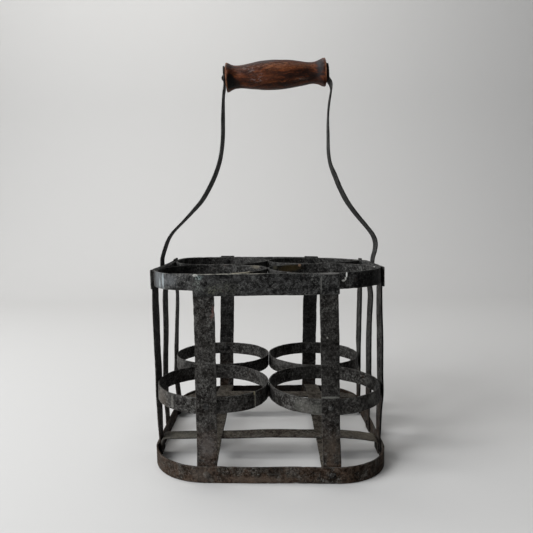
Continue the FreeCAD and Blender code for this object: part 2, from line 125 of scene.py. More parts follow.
# ------------------------------------------------------------ mesh builder
def section(hw, ht, rc, n):
    """closed loop round a strip's section: across a, through b, and how near the edge"""
    inner = hw - rc
    near = 0.55
    core = list(np.linspace(-(inner - near), inner - near, n))
    face = [-inner] + core + [inner]
    a, b = [], []
    for x in face:
        a.append(x); b.append(ht)
    for k in (67.5, 45, 22.5):
        a.append(inner + rc * math.cos(math.radians(k))); b.append(ht - rc + rc * math.sin(math.radians(k)))
    a.append(hw); b.append(ht - rc); a.append(hw); b.append(-(ht - rc))
    for k in (22.5, 45, 67.5):
        a.append(inner + rc * math.cos(math.radians(k))); b.append(-(ht - rc) - rc * math.sin(math.radians(k)))
    for x in reversed(face):
        a.append(x); b.append(-ht)
    for k in (67.5, 45, 22.5):
        a.append(-inner - rc * math.cos(math.radians(k))); b.append(-(ht - rc) - rc * math.sin(math.radians(k)))
    a.append(-hw); b.append(-(ht - rc)); a.append(-hw); b.append(ht - rc)
    for k in (22.5, 45, 67.5):
        a.append(-inner - rc * math.cos(math.radians(k))); b.append(ht - rc + rc * math.sin(math.radians(k)))
    a, b = np.array(a), np.array(b)
    edge = np.where(np.abs(a) > hw - 1e-6, 0.22, np.where(np.abs(a) > inner + 1e-6, 1.0, np.where(np.abs(a) > inner - 1e-6, 0.55, 0.0)))
    return a, b, edge


def finish_mesh(name, V, faces, attrs, corner_run=None):
    me = bpy.data.meshes.new(name)
    me.from_pydata((V * 0.001).tolist(), [], faces)
    for key, val in attrs.items():
        at = me.attributes.new(key, "FLOAT", "POINT")
        at.data.foreach_set("value", np.asarray(val, np.float32).ravel())
    if corner_run is not None:
        at = me.attributes.new("run", "FLOAT_VECTOR", "CORNER")
        at.data.foreach_set("vector", np.asarray(corner_run, np.float32).ravel())
    bm = bmesh.new(); bm.from_mesh(me)
    bmesh.ops.recalc_face_normals(bm, faces=bm.faces)
    bm.to_mesh(me); bm.free()
    me.polygons.foreach_set("use_smooth", [True] * len(me.polygons))
    me.update()
    ob = bpy.data.objects.new(name, me)
    scene.collection.objects.link(ob)
    return ob


def strip_mesh(name, U, fn, hw, ht, closed=False, end=(0.9, 0.9), seed=0, rc=0.38, n=9, nick=0.26, dent=None, bend=1.0, zmin=None, cage=True):
    """U: stations along the strip; fn(U, a, b) gives the points; end: corner radius of each end"""
    a, b, edge = section(hw, ht, rc, n)
    U = np.asarray(U, float)
    N, M = len(U), len(a)
    A = np.repeat(a[None, :], N, 0)
    B = np.repeat(b[None, :], N, 0)
    E = np.repeat(edge[None, :], N, 0)
    side = np.where(A > 0, 1.0, -1.0)
    L = U[-1] - U[0]
    Uc = np.repeat(U[:, None], M, 1)
    if closed:
        Lc = L + (U[1] - U[0])
        ph = 2 * np.pi * U / Lc
        rad = Lc / (2 * np.pi)
        line = np.stack([rad * np.cos(ph), rad * np.sin(ph), np.full(N, 37.0 * seed)], -1)
    else:
        line = np.stack([U, np.full(N, 91.0 * seed), np.full(N, 13.0)], -1)
    for sgn in (1.0, -1.0):
        off = line + np.array([0, 0, 400.0 * sgn])
        nk = np.clip(NICK(off) * 0.6 - 0.15, 0, 2.2) * nick + np.clip(NICK2(off) - 0.6, 0, 2) * nick * 0.30
        m = side == sgn
        A = np.where(m, A * (1 - (nk[:, None] * (np.abs(A) / hw) ** 6) / hw), A)
    # thickness: hammered a little thinner here and there, never thicker
    th = THIN(np.stack([line[:, 0], line[:, 1], line[:, 2]], -1))
    B = B * (1 - 0.05 * np.clip(th, 0, 1.5))[:, None]
    if not closed:
        for j, (r, d) in enumerate(((end[0], U - U[0]), (end[1], U[-1] - U))):
            d = np.clip(d, 0.0, None)
            wr = np.ones(N)
            if r > 0:
                q = np.clip(r - d, 0, r)
                wr = (hw - r + np.sqrt(np.clip(r * r - q * q, 0, None))) / hw
            q = np.clip(0.34 - d, 0, 0.34)
            tr = (ht - 0.34 + np.sqrt(np.clip(0.34 ** 2 - q * q, 0, None))) / ht
            A = A * np.clip(wr, 0.02, 1)[:, None]
            B = B * np.clip(tr, 0.12, 1)[:, None]
            E = np.maximum(E, 0.75 * np.clip(1 - (d - 0.35) / 0.8, 0, 1)[:, None])
    X = fn(Uc, A, B)
    if dent is not None:
        X = dent(X, Uc, A, B)
    X = settle(X, bend, cage)
    if zmin is not None:
        X[..., 2] = np.maximum(X[..., 2], zmin)
    V = X.reshape(-1, 3)
    faces, run = [], []
    step = U[1] - U[0]
    last = N if closed else N - 1
    for i in range(last):
        i2 = (i + 1) % N
        u1 = U[i]
        u2 = U[i + 1] if i + 1 < N else U[-1] + step
        for j in range(M):
            j2 = (j + 1) % M
            faces.append((i * M + j, i * M + j2, i2 * M + j2, i2 * M + j))
            run += [(u1 * .001, a[j] * .001, b[j] * .001), (u1 * .001, a[j2] * .001, b[j2] * .001),
                    (u2 * .001, a[j2] * .001, b[j2] * .001), (u2 * .001, a[j] * .001, b[j] * .001)]
    if not closed:
        # the loop's two faces mirror each other, so each end closes with quads
        nf = n + 2
        top = list(range(nf))
        bot = [nf + 8 + (nf - 1 - k) for k in range(nf)]
        right = [nf - 1 + k for k in range(0, 10)]           # from the top face round to the bottom face
        left = [nf + 8 + nf - 1 + k for k in range(0, 10)]
        for base in (0, (N - 1) * M):
            u = U[0] if base == 0 else U[-1]
            for k in range(nf - 1):
                f = (base + top[k], base + top[k + 1], base + bot[k + 1], base + bot[k])
                faces.append(f)
                run += [(u * .001, a[v - base] * .001, b[v - base] * .001) for v in f]
            f = tuple(base + (v % M) for v in right)
            faces.append(f); run += [(u * .001, a[v - base] * .001, b[v - base] * .001) for v in f]
            f = tuple(base + (v % M) for v in left)
            faces.append(f); run += [(u * .001, a[v - base] * .001, b[v - base] * .001) for v in f]
    return finish_mesh(name, V, faces, {"edge": E.reshape(-1)}, run)


def stations(L, step, ends=True):
    """stations along an open strip, closer together at its ends"""
    fine = [0.0, 0.06, 0.16, 0.3, 0.5, 0.8, 1.2, 1.8] if ends else [0.0]
    n = max(2, int(round((L - 2 * fine[-1]) / step)))
    mid = np.linspace(fine[-1], L - fine[-1], n + 1)
    return np.array(fine[:-1] + list(mid) + [L - x for x in reversed(fine[:-1])])


def round_stations(L, step, r0, r1):
    """stations for ends that are half round, of radius r"""
    def endset(r):
        if r < 2:
            return [0.0, 0.06, 0.16, 0.3, 0.5, 0.8, 1.2, 1.8]
        return [r * (1 - math.cos(math.radians(k))) for k in (0, 5, 10, 16, 23, 31, 40, 50, 60, 70, 80, 90)]
    s, e = endset(r0), endset(r1)
    n = max(2, int(round((L - s[-1] - e[-1]) / step)))
    mid = np.linspace(s[-1], L - e[-1], n + 1)
    return np.array(s[:-1] + list(mid) + [L - x for x in reversed(e[:-1])])


# ----------------------------------------------------------- strip shapes
def rrect(ax, ay, rs, start=0.0):
    """points and outward normals along a rounded rectangle; starts at the middle of the back and runs to the left"""
    segs = []                                # (length, function of distance)
    def line(p, q, nrm):
        p, q = np.array(p), np.array(q)
        d = np.linalg.norm(q - p)
        segs.append((d, lambda s, p=p, q=q, d=d, nrm=nrm: (p + (q - p) * (s / d)[:, None], np.repeat(np.array([nrm], float), len(s), 0))))
    def arc(c, r, a0):
        d = r * math.pi / 2
        def f(s, c=c, r=r, a0=a0):
            k = a0 + s / r
            nn = np.stack([np.cos(k), np.sin(k)], -1)
            return np.array(c) + r * nn, nn
        segs.append((d, f))
    fl, fr, br, bl = rs
    line((0, ay), (-(ax - bl), ay), (0, 1))
    arc((-(ax - bl), ay - bl), bl, math.pi / 2)
    line((-ax, ay - bl), (-ax, -(ay - fl)), (-1, 0))
    arc((-(ax - fl), -(ay - fl)), fl, math.pi)
    line((-(ax - fl), -ay), (ax - fr, -ay), (0, -1))
    arc((ax - fr, -(ay - fr)), fr, 1.5 * math.pi)
    line((ax, -(ay - fr)), (ax, ay - br), (1, 0))
    arc((ax - br, ay - br), br, 0.0)
    line((ax - br, ay), (0, ay), (0, 1))
    total = sum(s[0] for s in segs)
    def at(u):
        u = np.mod(u, total)
        P = np.zeros((len(u), 2)); Nn = np.zeros((len(u), 2))
        base = 0.0
        for d, f in segs:
            m = (u >= base - 1e-9) & (u <= base + d + 1e-9)
            if m.any():
                p, nrm = f(u[m] - base)
                P[m], Nn[m] = p, nrm
            base += d
        return P, Nn
    return total, at


def hoop(name, node, ax, ay, rs, z0, h, seed, **kw):
    total, at = rrect(ax - T / 2, ay - T / 2, [r - T / 2 for r in rs])
    N = int(total / 1.9)
    U = np.arange(N) * total / N
    P, Nn = at(U)
    def fn(Uc, A, B):
        X = np.zeros(A.shape + (3,))
        X[..., 0] = P[:, 0][:, None] + Nn[:, 0][:, None] * B
        X[..., 1] = P[:, 1][:, None] + Nn[:, 1][:, None] * B
        X[..., 2] = z0 + h / 2 + A
        return X
    ob = strip_mesh(name, U, fn, h / 2, T / 2, closed=True, seed=seed, n=8, **kw)
    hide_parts(node)
    return ob


def ring(name, node, cx, cy, R, z0, h, seed, seam=None, start=135.0, **kw):
    r = R - T / 2
    if seam is None:
        N = int(2 * math.pi * r / 1.9)
        U = np.arange(N) * 2 * math.pi * r / N
        a0, closed = math.radians(start), True
    else:
        ang, g = seam
        L = 2 * math.pi * r - g
        U = stations(L, 1.9)
        a0, closed = math.radians(ang) + g / 2 / r, False
    def fn(Uc, A, B):
        k = a0 + Uc / r
        X = np.zeros(A.shape + (3,))
        X[..., 0] = cx + (r + B) * np.cos(k)
        X[..., 1] = cy + (r + B) * np.sin(k)
        X[..., 2] = z0 + h / 2 + A
        return X
    ob = strip_mesh(name, U, fn, h / 2, T / 2, closed=closed, seed=seed, n=8, end=(0.5, 0.5), **kw)
    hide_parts(node)
    return ob


def sag(s):
    s = np.clip(np.abs(s) - 52.4, 0, 30)
    return 54.0 - np.sqrt(54.0 ** 2 - s * s)


def smooth_interp(z, zs, vs):
    """piecewise straight with short soft bends"""
    out = np.zeros_like(z)
    for o in (-3.0, -1.5, 0.0, 1.5, 3.0):
        out += np.interp(z + o, zs, vs)
    return out / 5.0


def upright(name, node, side, centre, top, seed, width=W, lean=0.0, shift=None, twist=None, follow=True, **kw):
    """shift: (heights, run to +X), twist: (heights, degrees, front edge outwards)"""
    if side in ("front", "back"):
        zs, vs = [UP_BOT, 17.0, 57.0, top], [AY_BOT, AY_BOT, A_TOP, A_TOP]
    else:
        zs, vs = [UP_BOT, 17.0, 57.0, 75.0, 160.0, top], [AX_BOT, AX_BOT, AX_MID, AX_MID, A_TOP, A_TOP]
    U = stations(top - UP_BOT, 1.9)
    def fn(Uc, A, B):
        z = UP_BOT + Uc
        s = centre + A + lean * (z - 100.0)
        d = smooth_interp(z, zs, vs) + T / 2 + B
        if follow:
            d = d - sag(s)
        if twist is not None:
            d = d - A * np.tan(np.radians(np.interp(z, *twist)))
        if shift is not None:
            d = d + smooth_interp(z, *shift) * (-1.0 if side == "left" else 1.0)
        X = np.zeros(A.shape + (3,))
        if side == "front":
            X[..., 0], X[..., 1] = s, -d
        elif side == "back":
            X[..., 0], X[..., 1] = s, d
        elif side == "left":
            X[..., 0], X[..., 1] = -d, s
        else:
            X[..., 0], X[..., 1] = d, s
        X[..., 2] = z
        return X
    ob = strip_mesh(name, U, fn, width / 2, T / 2, seed=seed, **kw)
    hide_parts(node)
    return ob


def bent_path(start, mid, end):
    """dense centre line through a straight start, a smooth middle and a straight end; points are (x, z)"""
    P = [np.array(p, float) for p in [start[1]] + list(mid) + [end[0]]]
    t0 = np.array(start[1], float) - np.array(start[0], float); t0 /= np.linalg.norm(t0)
    t1 = np.array(end[1], float) - np.array(end[0], float); t1 /= np.linalg.norm(t1)
    ext = [P[0] - t0 * np.linalg.norm(P[1] - P[0])] + P + [P[-1] + t1 * np.linalg.norm(P[-1] - P[-2])]
    pts = [np.array(start[0], float) + (P[0] - np.array(start[0], float)) * k for k in np.linspace(0, 1, 12)[:-1]]
    for i in range(1, len(ext) - 2):
        p0, p1, p2, p3 = ext[i - 1:i + 3]
        d01, d12, d23 = (np.linalg.norm(q) for q in (p1 - p0, p2 - p1, p3 - p2))
        m1 = (p2 - p0) / (d01 + d12) * d12
        m2 = (p3 - p1) / (d12 + d23) * d12
        if i == 1:
            m1 = t0 * d12
        if i == len(ext) - 3:
            m2 = t1 * d12
        for k in np.linspace(0, 1, 17)[:-1]:
            pts.append(p1 * (2 * k ** 3 - 3 * k ** 2 + 1) + m1 * (k ** 3 - 2 * k ** 2 + k)
                       + p2 * (3 * k ** 2 - 2 * k ** 3) + m2 * (k ** 3 - k ** 2))
    e1 = np.array(end[1], float)
    pts += [P[-1] + (e1 - P[-1]) * k for k in np.linspace(0, 1, 12)]
    return np.array(pts)


def along(path):
    """arc length, and a function giving point, tangent at each distance"""
    d = np.r_[0, np.cumsum(np.linalg.norm(np.diff(path, axis=0), axis=1))]
    tg = np.gradient(path, d + np.arange(len(d)) * 1e-9, axis=0)
    tg /= np.linalg.norm(tg, axis=1)[:, None]
    def at(u):
        p = np.stack([np.interp(u, d, path[:, i]) for i in (0, 1)], -1)
        q = np.stack([np.interp(u, d, tg[:, i]) for i in (0, 1)], -1)
        q /= np.linalg.norm(q, axis=1)[:, None]
        return p, q
    return d[-1], at


def xz_strip(name, node, path, seed, ends, hw=W / 2, ht=T / 2, twist=None, twist_z=None, shift=None, step=1.9, **kw):
    L, at = along(path)
    U = round_stations(L, step, *ends)
    P, Q = at(U)
    def fn(Uc, A, B):
        X = np.zeros(A.shape + (3,))
        nx, nz = -Q[:, 1][:, None], Q[:, 0][:, None]
        tw = np.zeros(len(U)) if twist is None else np.radians(np.interp(U / L, twist[0], twist[1]))
        if twist_z is not None:
            tw = np.radians(np.interp(P[:, 1], *twist_z))
        c, s = np.cos(tw)[:, None], np.sin(tw)[:, None]
        a2 = A * c - B * s
        b2 = A * s + B * c
        X[..., 0] = P[:, 0][:, None] + nx * b2
        X[..., 2] = P[:, 1][:, None] + nz * b2
        X[..., 1] = a2
        if shift is not None:
            X[..., 0] += smooth_interp(X[..., 2], *shift)
        return X
    ob = strip_mesh(name, U, fn, hw, ht, end=ends, seed=seed, **kw)
    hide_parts(node)
    return ob


def floor_line(e, zs, z_low=2.4, r=4.2):
    zl, z1, z2, z3, z4, z5, zr = zs
    knots = [(-(e - r), zl), (-86.0, z1), (-62.5, z2), (-44.5, z2), (0.0, z3), (44.5, z4), (62.5, z4), (86.0, z5), (e - r, zr)]
    n = len(knots)
    m = [0.0] * n
    for i in range(1, n - 1):
        s0 = (knots[i][1] - knots[i - 1][1]) / (knots[i][0] - knots[i - 1][0])
        s1 = (knots[i + 1][1] - knots[i][1]) / (knots[i + 1][0] - knots[i][0])
        m[i] = 0.0 if s0 * s1 <= 0 else 2 * s0 * s1 / (s0 + s1)
    line = [(-e, z) for z in np.linspace(z_low, zl - r, 8)[:-1]]
    for k in np.linspace(180, 90, 13):
        k = math.radians(k)
        line.append((-(e - r) + r * math.cos(k), zl - r + r * math.sin(k)))
    for i in range(n - 1):
        (x0, y0), (x1, y1) = knots[i], knots[i + 1]
        d = x1 - x0
        steps = max(4, int(d / 1.5))
        for j in range(1, steps + 1):
            k = j / float(steps)
            y = y0 * (2 * k ** 3 - 3 * k ** 2 + 1) + m[i] * d * (k ** 3 - 2 * k ** 2 + k) + y1 * (3 * k ** 2 - 2 * k ** 3) + m[i + 1] * d * (k ** 3 - k ** 2)
            line.append((x0 + d * k, y))
    for k in np.linspace(90, 0, 13)[1:]:
        k = math.radians(k)
        line.append(((e - r) + r * math.cos(k), zr - r + r * math.sin(k)))
    line += [(e, z) for z in np.linspace(zr - r, z_low, 8)[1:]]
    return np.array(line)


def floor_strip(name, node, e, zs, centre, along_x, seed):
    path = floor_line(e, zs)
    L, at = along(path)
    U = stations(L, 1.7)
    P, Q = at(U)
    def fn(Uc, A, B):
        run = P[:, 0][:, None] - Q[:, 1][:, None] * B
        z = P[:, 1][:, None] + Q[:, 0][:, None] * B
        s = centre + A
        near = np.clip((np.abs(run) - (e - 7.0)) / 6.0, 0, 1)
        run = run - np.sign(run) * sag(s) * near
        X = np.zeros(A.shape + (3,))
        if along_x:
            X[..., 0], X[..., 1] = run, s
        else:
            X[..., 0], X[..., 1] = s, run
        X[..., 2] = z
        return X
    ob = strip_mesh(name, U, fn, W / 2, T / 2, seed=seed, end=(1.0, 1.0))
    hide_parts(node)
    return ob


def plate(name, node, side, s0, s1, seed, ridges=()):
    """flat outer strip; ridges: (centre, half width, height) where it was hammered over what lies under it"""
    U = stations(s1 - s0, 1.7)
    def fn(Uc, A, B):
        s = s0 + Uc
        d = P0 + T / 2 + B
        for c, h, up in ridges:
            q = np.clip((h + 0.9 - np.abs(s - c)) / 1.8, 0, 1)
            d = d + up * q * q * (3 - 2 * q)
        X = np.zeros(A.shape + (3,))
        if side == "front":
            X[..., 0], X[..., 1] = s, -d
        elif side == "back":
            X[..., 0], X[..., 1] = s, d
        elif side == "left":
            X[..., 0], X[..., 1] = -d, s
        else:
            X[..., 0], X[..., 1] = d, s
        X[..., 2] = 162.3 + 9.3 + A
        return X
    ob = strip_mesh(name, U, fn, 9.3, T / 2, seed=seed, end=(1.3, 1.1), n=10)
    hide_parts(node)
    return ob


# ------------------------------------------------------------- turned parts
def lathe(profile, origin, axis, up, seg=40, rough=0.0, seed=0):
    """closed solid of revolution; profile (distance along the axis, radius) from end to end, radius 0 at both ends"""
    axis = np.array(axis, float); axis /= np.linalg.norm(axis)
    up = np.array(up, float); up -= axis * (up @ axis); up /= np.linalg.norm(up)
    w = np.cross(axis, up)
    V, F = [], []
    o = np.array(origin, float)
    rings = []
    for d, r in profile:
        if r < 1e-6:
            rings.append([len(V)]); V.append(o + axis * d)
            continue
        ids = []
        for k in range(seg):
            t = 2 * math.pi * k / seg
            rr = r
            ids.append(len(V)); V.append(o + axis * d + (up * math.cos(t) + w * math.sin(t)) * rr)
        rings.append(ids)
    for r0, r1 in zip(rings[:-1], rings[1:]):
        if len(r0) == 1 and len(r1) == 1:
            continue
        for k in range(seg):
            k2 = (k + 1) % seg
            if len(r0) == 1:
                F.append((r0[0], r1[k2], r1[k]))
            elif len(r1) == 1:
                F.append((r0[k], r0[k2], r1[0]))
            else:
                F.append((r0[k], r0[k2], r1[k2], r1[k]))
    return np.array(V), F


def dome(r, h, n=9, lip=0.30):
    """profile of a low hammered head from its edge to its crown: (height, radius)"""
    R = (r * r + h * h) / (2 * h)
    amax = math.asin(min(1, r / R))
    out = []
    for k in np.linspace(1, 0, n):
        a = amax * k
        out.append((R * math.cos(a) - (R - h), R * math.sin(a)))
    out[-1] = (h, 0.0)
    return out


HEAD = Waves(71, 24, 2.2, 6.5)
HEAD2 = Waves(73, 20, 1.2, 2.6)


def rivet(p_in, d, length, r, head_in, head_out, seed):
    """inner head, shank and outer head in one; p_in is under the inner head, d points outwards"""
    d = np.array(d, float)
    prof = []
    if head_in:
        hr, hh = head_in
        dm = dome(hr, hh)
        prof += [(-h, rr) for h, rr in reversed(dm)]
        prof.append((0.12, hr * 0.985))
        prof.append((0.16, r))
    else:
        prof += [(0.0, 0.0), (0.0, r)]
    if head_out:
        hr, hh = head_out
        prof.append((length - 0.04, r))
        prof.append((length - 0.02, hr * 0.97))
        prof += [(length + h, rr) for h, rr in dome(hr, hh)]
    else:
        prof += [(length, r), (length, 0.0)]
    V, F = lathe(prof, p_in, d, (0, 0, 1))
    # hammered: the crown is set a little off and faceted
    ax = (V - np.array(p_in)) @ d
    rad = V - np.array(p_in) - ax[:, None] * d
    out = np.zeros(len(V))
    if head_in:
        out = np.where(ax < 0.1, 1.0, out)
    if head_out:
        out = np.where(ax > length - 0.03, 1.0, out)
    q = V + seed * 17.0
    V = V + rad * (0.045 * HEAD(q) * out)[:, None] + d * (0.10 * HEAD(q + 50) * out * np.where(np.abs(ax) > 0.25, 1, 0))[:, None]
    return V, F


def group(name, node, parts, edge=0.35, cage=True):
    V, F, n = [], [], 0
    for v, f in parts:
        V.append(v); F += [tuple(i + n for i in q) for q in f]; n += len(v)
    V = settle(np.concatenate(V), 1.0, cage)
    ob = finish_mesh(name, V, F, {"edge": np.full(len(V), edge)})
    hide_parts(node)
    return ob


D = {"front": (0, -1, 0), "back": (0, 1, 0), "left": (-1, 0, 0), "right": (1, 0, 0)}


def at(side, s, dist, z):
    return {"front": (s, -dist, z), "back": (s, dist, z), "left": (-dist, s, z), "right": (dist, s, z)}[side]


# ------------------------------------------------------------ build: cage
pieces = {}
pieces["top_hoop"] = hoop("top_hoop_strip", "top_hoop", TOP_A, TOP_A, (TOP_R,) * 4, TOP_Z1 - TOP_H, TOP_H, 1)
pieces["bottom_hoop"] = hoop("foot_hoop_strip", "bottom_hoop", BOT_AX, BOT_AY, BOT_RS, 0.0, BOT_H, 2, zmin=0.0)

CORNERS = (("front_left", -1, -1), ("front_right", 1, -1), ("back_left", -1, 1), ("back_right", 1, 1))
for i, (nm, sx, sy) in enumerate(CORNERS):
    pieces["upper_ring_" + nm] = ring("neck_ring_" + nm, "upper_ring_" + nm, sx * RT_C, sy * RT_C, RT_R, RT_Z0, RT_H, 5 + i)
    pieces["lower_ring_" + nm] = ring("body_ring_" + nm, "lower_ring_" + nm, sx * RM_CX, sy * RM_CY, RM_R, RM_Z0, RM_H, 10 + i,
                                      seam=(-38.8, 0.9) if nm == "front_left" else None)

RZ, MZ, BZ = TOP_Z1 - TOP_H / 2, RM_Z0 + RM_H / 2, BOT_H / 2
FLX, FRX, BLX, BRX = -54.0, 52.3, -52.2, 52.9          # at 100 mm above the floor
FR_LEAN, BACK_LEAN = -0.012, 0.025
fr_x = lambda z: FRX + FR_LEAN * (z - 100)
bl_x = lambda z: BLX + BACK_LEAN * (z - 100)
br_x = lambda z: BRX + BACK_LEAN * (z - 100)
UPS = {
    "upright_front_left": dict(side="front", centre=FLX, top=181.0, width=18.1),
    "upright_front_right": dict(side="front", centre=FRX, top=181.0, width=15.9, lean=FR_LEAN),
    "upright_back_left": dict(side="back", centre=BLX, top=182.3, width=17.3, lean=BACK_LEAN),
    "upright_back_right": dict(side="back", centre=BRX, top=182.3, width=17.3, lean=BACK_LEAN),
    "upright_left_front": dict(side="left", centre=-51.9, top=181.0, twist=((20, 48, 60, 76, 162.5, 168), (0, 4, 6.5, 7.5, 7.5, 0)),
                               shift=((80, 95, 150, 160), (0, -0.3, -0.3, 0))),
    "upright_left_back": dict(side="left", centre=54.2, top=182.8, twist=((20, 80, 100, 150, 164), (0, 0, -2.5, -4, 0)),
                              shift=((17, 30, 52, 63, 87, 98, 122, 143, 160, 166), (0, -0.9, -1.5, -0.7, -0.4, -0.2, 0.4, 1.0, 0.3, 0))),
    "upright_right_front": dict(side="right", centre=-51.9, top=181.0, twist=((20, 48, 60, 76, 135, 162.5, 168), (0, 4, 6.5, 7.5, 7, 4, 0)),
                                shift=((48, 60, 72, 82, 92, 121, 135, 160, 168), (0, 0.8, 0.8, 0.4, 0.4, 0.4, 0, -0.5, 0))),
    "upright_right_back": dict(side="right", centre=51.0, top=182.8, twist=((20, 75, 87, 143, 163), (0, 2, 4.5, 4.5, 0)),
                               shift=((76, 87, 143, 160), (0, -0.5, -0.4, 0))),
}
for i, (nm, kw) in enumerate(UPS.items()):
    pieces[nm] = upright(nm + "_strip", nm, seed=20 + i, **kw)

xm = A_TOP + T / 2
xl = BOT_AX + GAP + T / 2
xr = BOT_AX - T - GAP - T / 2
pieces["stay_left_middle"] = xz_strip("stay_left_strip", "stay_left_middle", bent_path(
    ((-xl, UP_BOT), (-xl, 18.0)), [(-109.1, 32.0), (-109.1, 50.0), (-108.4, 80.0), (-107.5, 112.0), (-107.1, 140.0)],
    ((-xm, 158.0), (-xm, 181.0))), 31, (0.9, 0.9), twist=((0.0, 0.12, 0.25, 0.900, 0.930, 1.0), (0, 0, -4.6, -4.6, 0, 0)),
    shift=((20, 50, 68, 78, 99, 110, 131, 150, 163), (0, -0.4, -0.75, -0.9, -0.75, -0.9, -1.4, -1.6, 0)))
pieces["stay_right_middle"] = xz_strip("stay_right_strip", "stay_right_middle", bent_path(
    ((xr, UP_BOT), (xr, 18.0)), [(106.3, 34.0), (107.0, 54.0), (107.2, 80.0), (107.7, 112.0), (107.9, 144.0)],
    ((xm, 159.0), (xm, 181.0))), 32, (0.9, 0.9), twist=((0.0, 0.12, 0.25, 0.900, 0.930, 1.0), (0, 0, 4.6, 4.6, 0, 0)),
    shift=((20, 50, 68, 78, 89, 99, 110, 131, 150, 163), (0, 0, -0.2, -0.5, -1.05, -1.2, -1.1, -0.5, 0.75, 0)))

EX = AX_BOT - GAP - T / 2
EY = AY_BOT - GAP - T / 2
pieces["floor_strip_front"] = floor_strip("floor_front_strip", "floor_strip_front", EX, (18.0, 18.2, 18.4, 19.6, 19.2, 17.2, 15.4), -51.9, True, 41)
pieces["floor_strip_back"] = floor_strip("floor_back_strip", "floor_strip_back", EX, (18.2, 21.2, 23.4, 22.9, 21.4, 20.0, 18.0), 52.6, True, 42)
pieces["floor_strip_left"] = floor_strip("floor_left_strip", "floor_strip_left", EY, (15.2, 18.2, 20.2, 20.9, 21.4, 19.0, 16.6), -53.5, False, 43)
pieces["floor_strip_right"] = floor_strip("floor_right_strip", "floor_strip_right", EY, (14.0, 16.2, 17.2, 20.4, 23.4, 20.2, 17.0), 52.6, False, 44)

pieces["plate_front"] = plate("front_plate_strip", "plate_front", "front", -62.6, 60.4, 51, ridges=((51.5, 8.2, 0.30), (-54.0, 9.2, 0.16)))
pieces["plate_back"] = plate("back_plate_strip", "plate_back", "back", -61.8, 61.8, 52, ridges=((54.8, 8.8, 0.2), (-50.3, 8.8, 0.2)))
pieces["plate_left"] = plate("left_plate_strip", "plate_left", "left", -60.6, 63.6, 53, ridges=((-51.9, 8.3, 0.15), (54.2, 8.3, 0.15)))
pieces["plate_right"] = plate("right_plate_strip", "plate_right", "right", -60.6, 61.2, 54, ridges=((-51.9, 8.3, 0.15), (51.0, 8.3, 0.15)))

# ------------------------------------------------------------ build: rivets
rz = RZ
top_in = RT_C + RT_R - T
parts = []
for i, (side, s) in enumerate((("front", -53.2), ("front", 50.8), ("back", bl_x(RZ)), ("back", br_x(RZ)), ("left", -51.9), ("left", 54.2), ("right", -51.9), ("right", 51.0))):
    up = 0.25 if side == "front" else 0.17
    parts.append(rivet(at(side, s, top_in, rz), D[side], P0 + T - top_in + up - 0.05, 2.0, (4.4, 2.0), (3.1, 0.75), i))
pieces["rivets_top"] = group("rivets_top_heads", "rivets_top", parts)
mz = MZ
parts = []
for i, (side, s) in enumerate((("front", FLX), ("front", fr_x(MZ)), ("back", bl_x(MZ)), ("back", br_x(MZ)), ("left", -51.9), ("left", 54.2), ("right", -51.9), ("right", 51.0))):
    cc = RM_CY if side in ("front", "back") else RM_CX
    r_in = cc + RM_R - T
    face = (A_TOP if side in ("front", "back") else AX_MID) + T
    parts.append(rivet(at(side, s, r_in, mz), D[side], face - r_in + 0.02, 1.9, (3.9, 1.8), (2.6, 0.4), 20 + i))
pieces["rivets_lower_rings"] = group("rivets_body_ring_heads", "rivets_lower_rings", parts)
bz = BZ
parts = []
for i, (side, s) in enumerate((("front", FLX), ("front", fr_x(BZ)), ("back", bl_x(BZ)), ("back", br_x(BZ)), ("left", -51.9), ("left", 54.2), ("right", -51.9), ("right", 51.0))):
    e = EY if side in ("front", "back") else EX
    face = BOT_AY if side in ("front", "back") else BOT_AX
    r_in = e - T / 2
    parts.append(rivet(at(side, s, r_in, bz), D[side], face - r_in, 2.0, (3.8, 1.5), (3.0, 0.8), 40 + i))
parts.append(rivet(at("left", 0.0, BOT_AX - T, bz), D["left"], xl + T / 2 - BOT_AX + T, 2.0, (3.6, 1.4), (3.0, 0.8), 50))
parts.append(rivet(at("right", 0.0, xr - T / 2, bz), D["right"], BOT_AX - xr + T / 2, 2.0, (3.6, 1.4), (3.0, 0.8), 51))
pieces["rivets_foot"] = group("rivets_foot_heads", "rivets_foot", parts)
for i, side in enumerate(("left", "right")):
    r_in = TOP_A - T
    end = ARM_X + T / 2 + 0.2
    pieces["pivot_rivet_" + side] = group("pivot_rivet_%s_peened" % side, "pivot_rivet_" + side,
                                          [rivet(at(side, 0.0, r_in, PIV_Z), D[side], end - r_in, 2.5, (4.8, 2.2), (5.0, 2.1), 60 + i)])


# -------------------------------------------------------------- build: bail
def on_axis(u, n=0.0):
    return (GRIP_MID[0] + u * GX - n * GZ, GRIP_MID[1] + u * GZ + n * GX)


TAB_L, TAB_R = -53.4, 52.5
R_END = W / 2
left_mid = [(-109.7, 188.0), (-108.7, 191.8), (-106.45, 198.6), (-103.3, 206.8), (-97.8, 215.1), (-87.7, 225.2), (-77.5, 235.6),
            (-67.6, 246.6), (-59.8, 259.2), (-53.1, 272.4), (-48.2, 286.4), (-45.5, 299.4), (-44.2, 313.0),
            (-43.9, 328.5), (-43.5, 343.5), (-42.9, 355.0)]
right_mid = [(110.7, 186.0), (112.6, 192.5), (113.3, 200.6), (110.8, 208.6), (104.3, 217.8), (94.9, 229.6),
             (84.4, 243.8), (76.8, 257.6), (71.1, 271.0), (66.4, 283.0), (64.5, 296.0), (64.3, 312.0),
             (64.3, 329.0), (65.3, 343.0), (67.0, 354.9), (67.7, 361.0), (66.7, 365.4)]


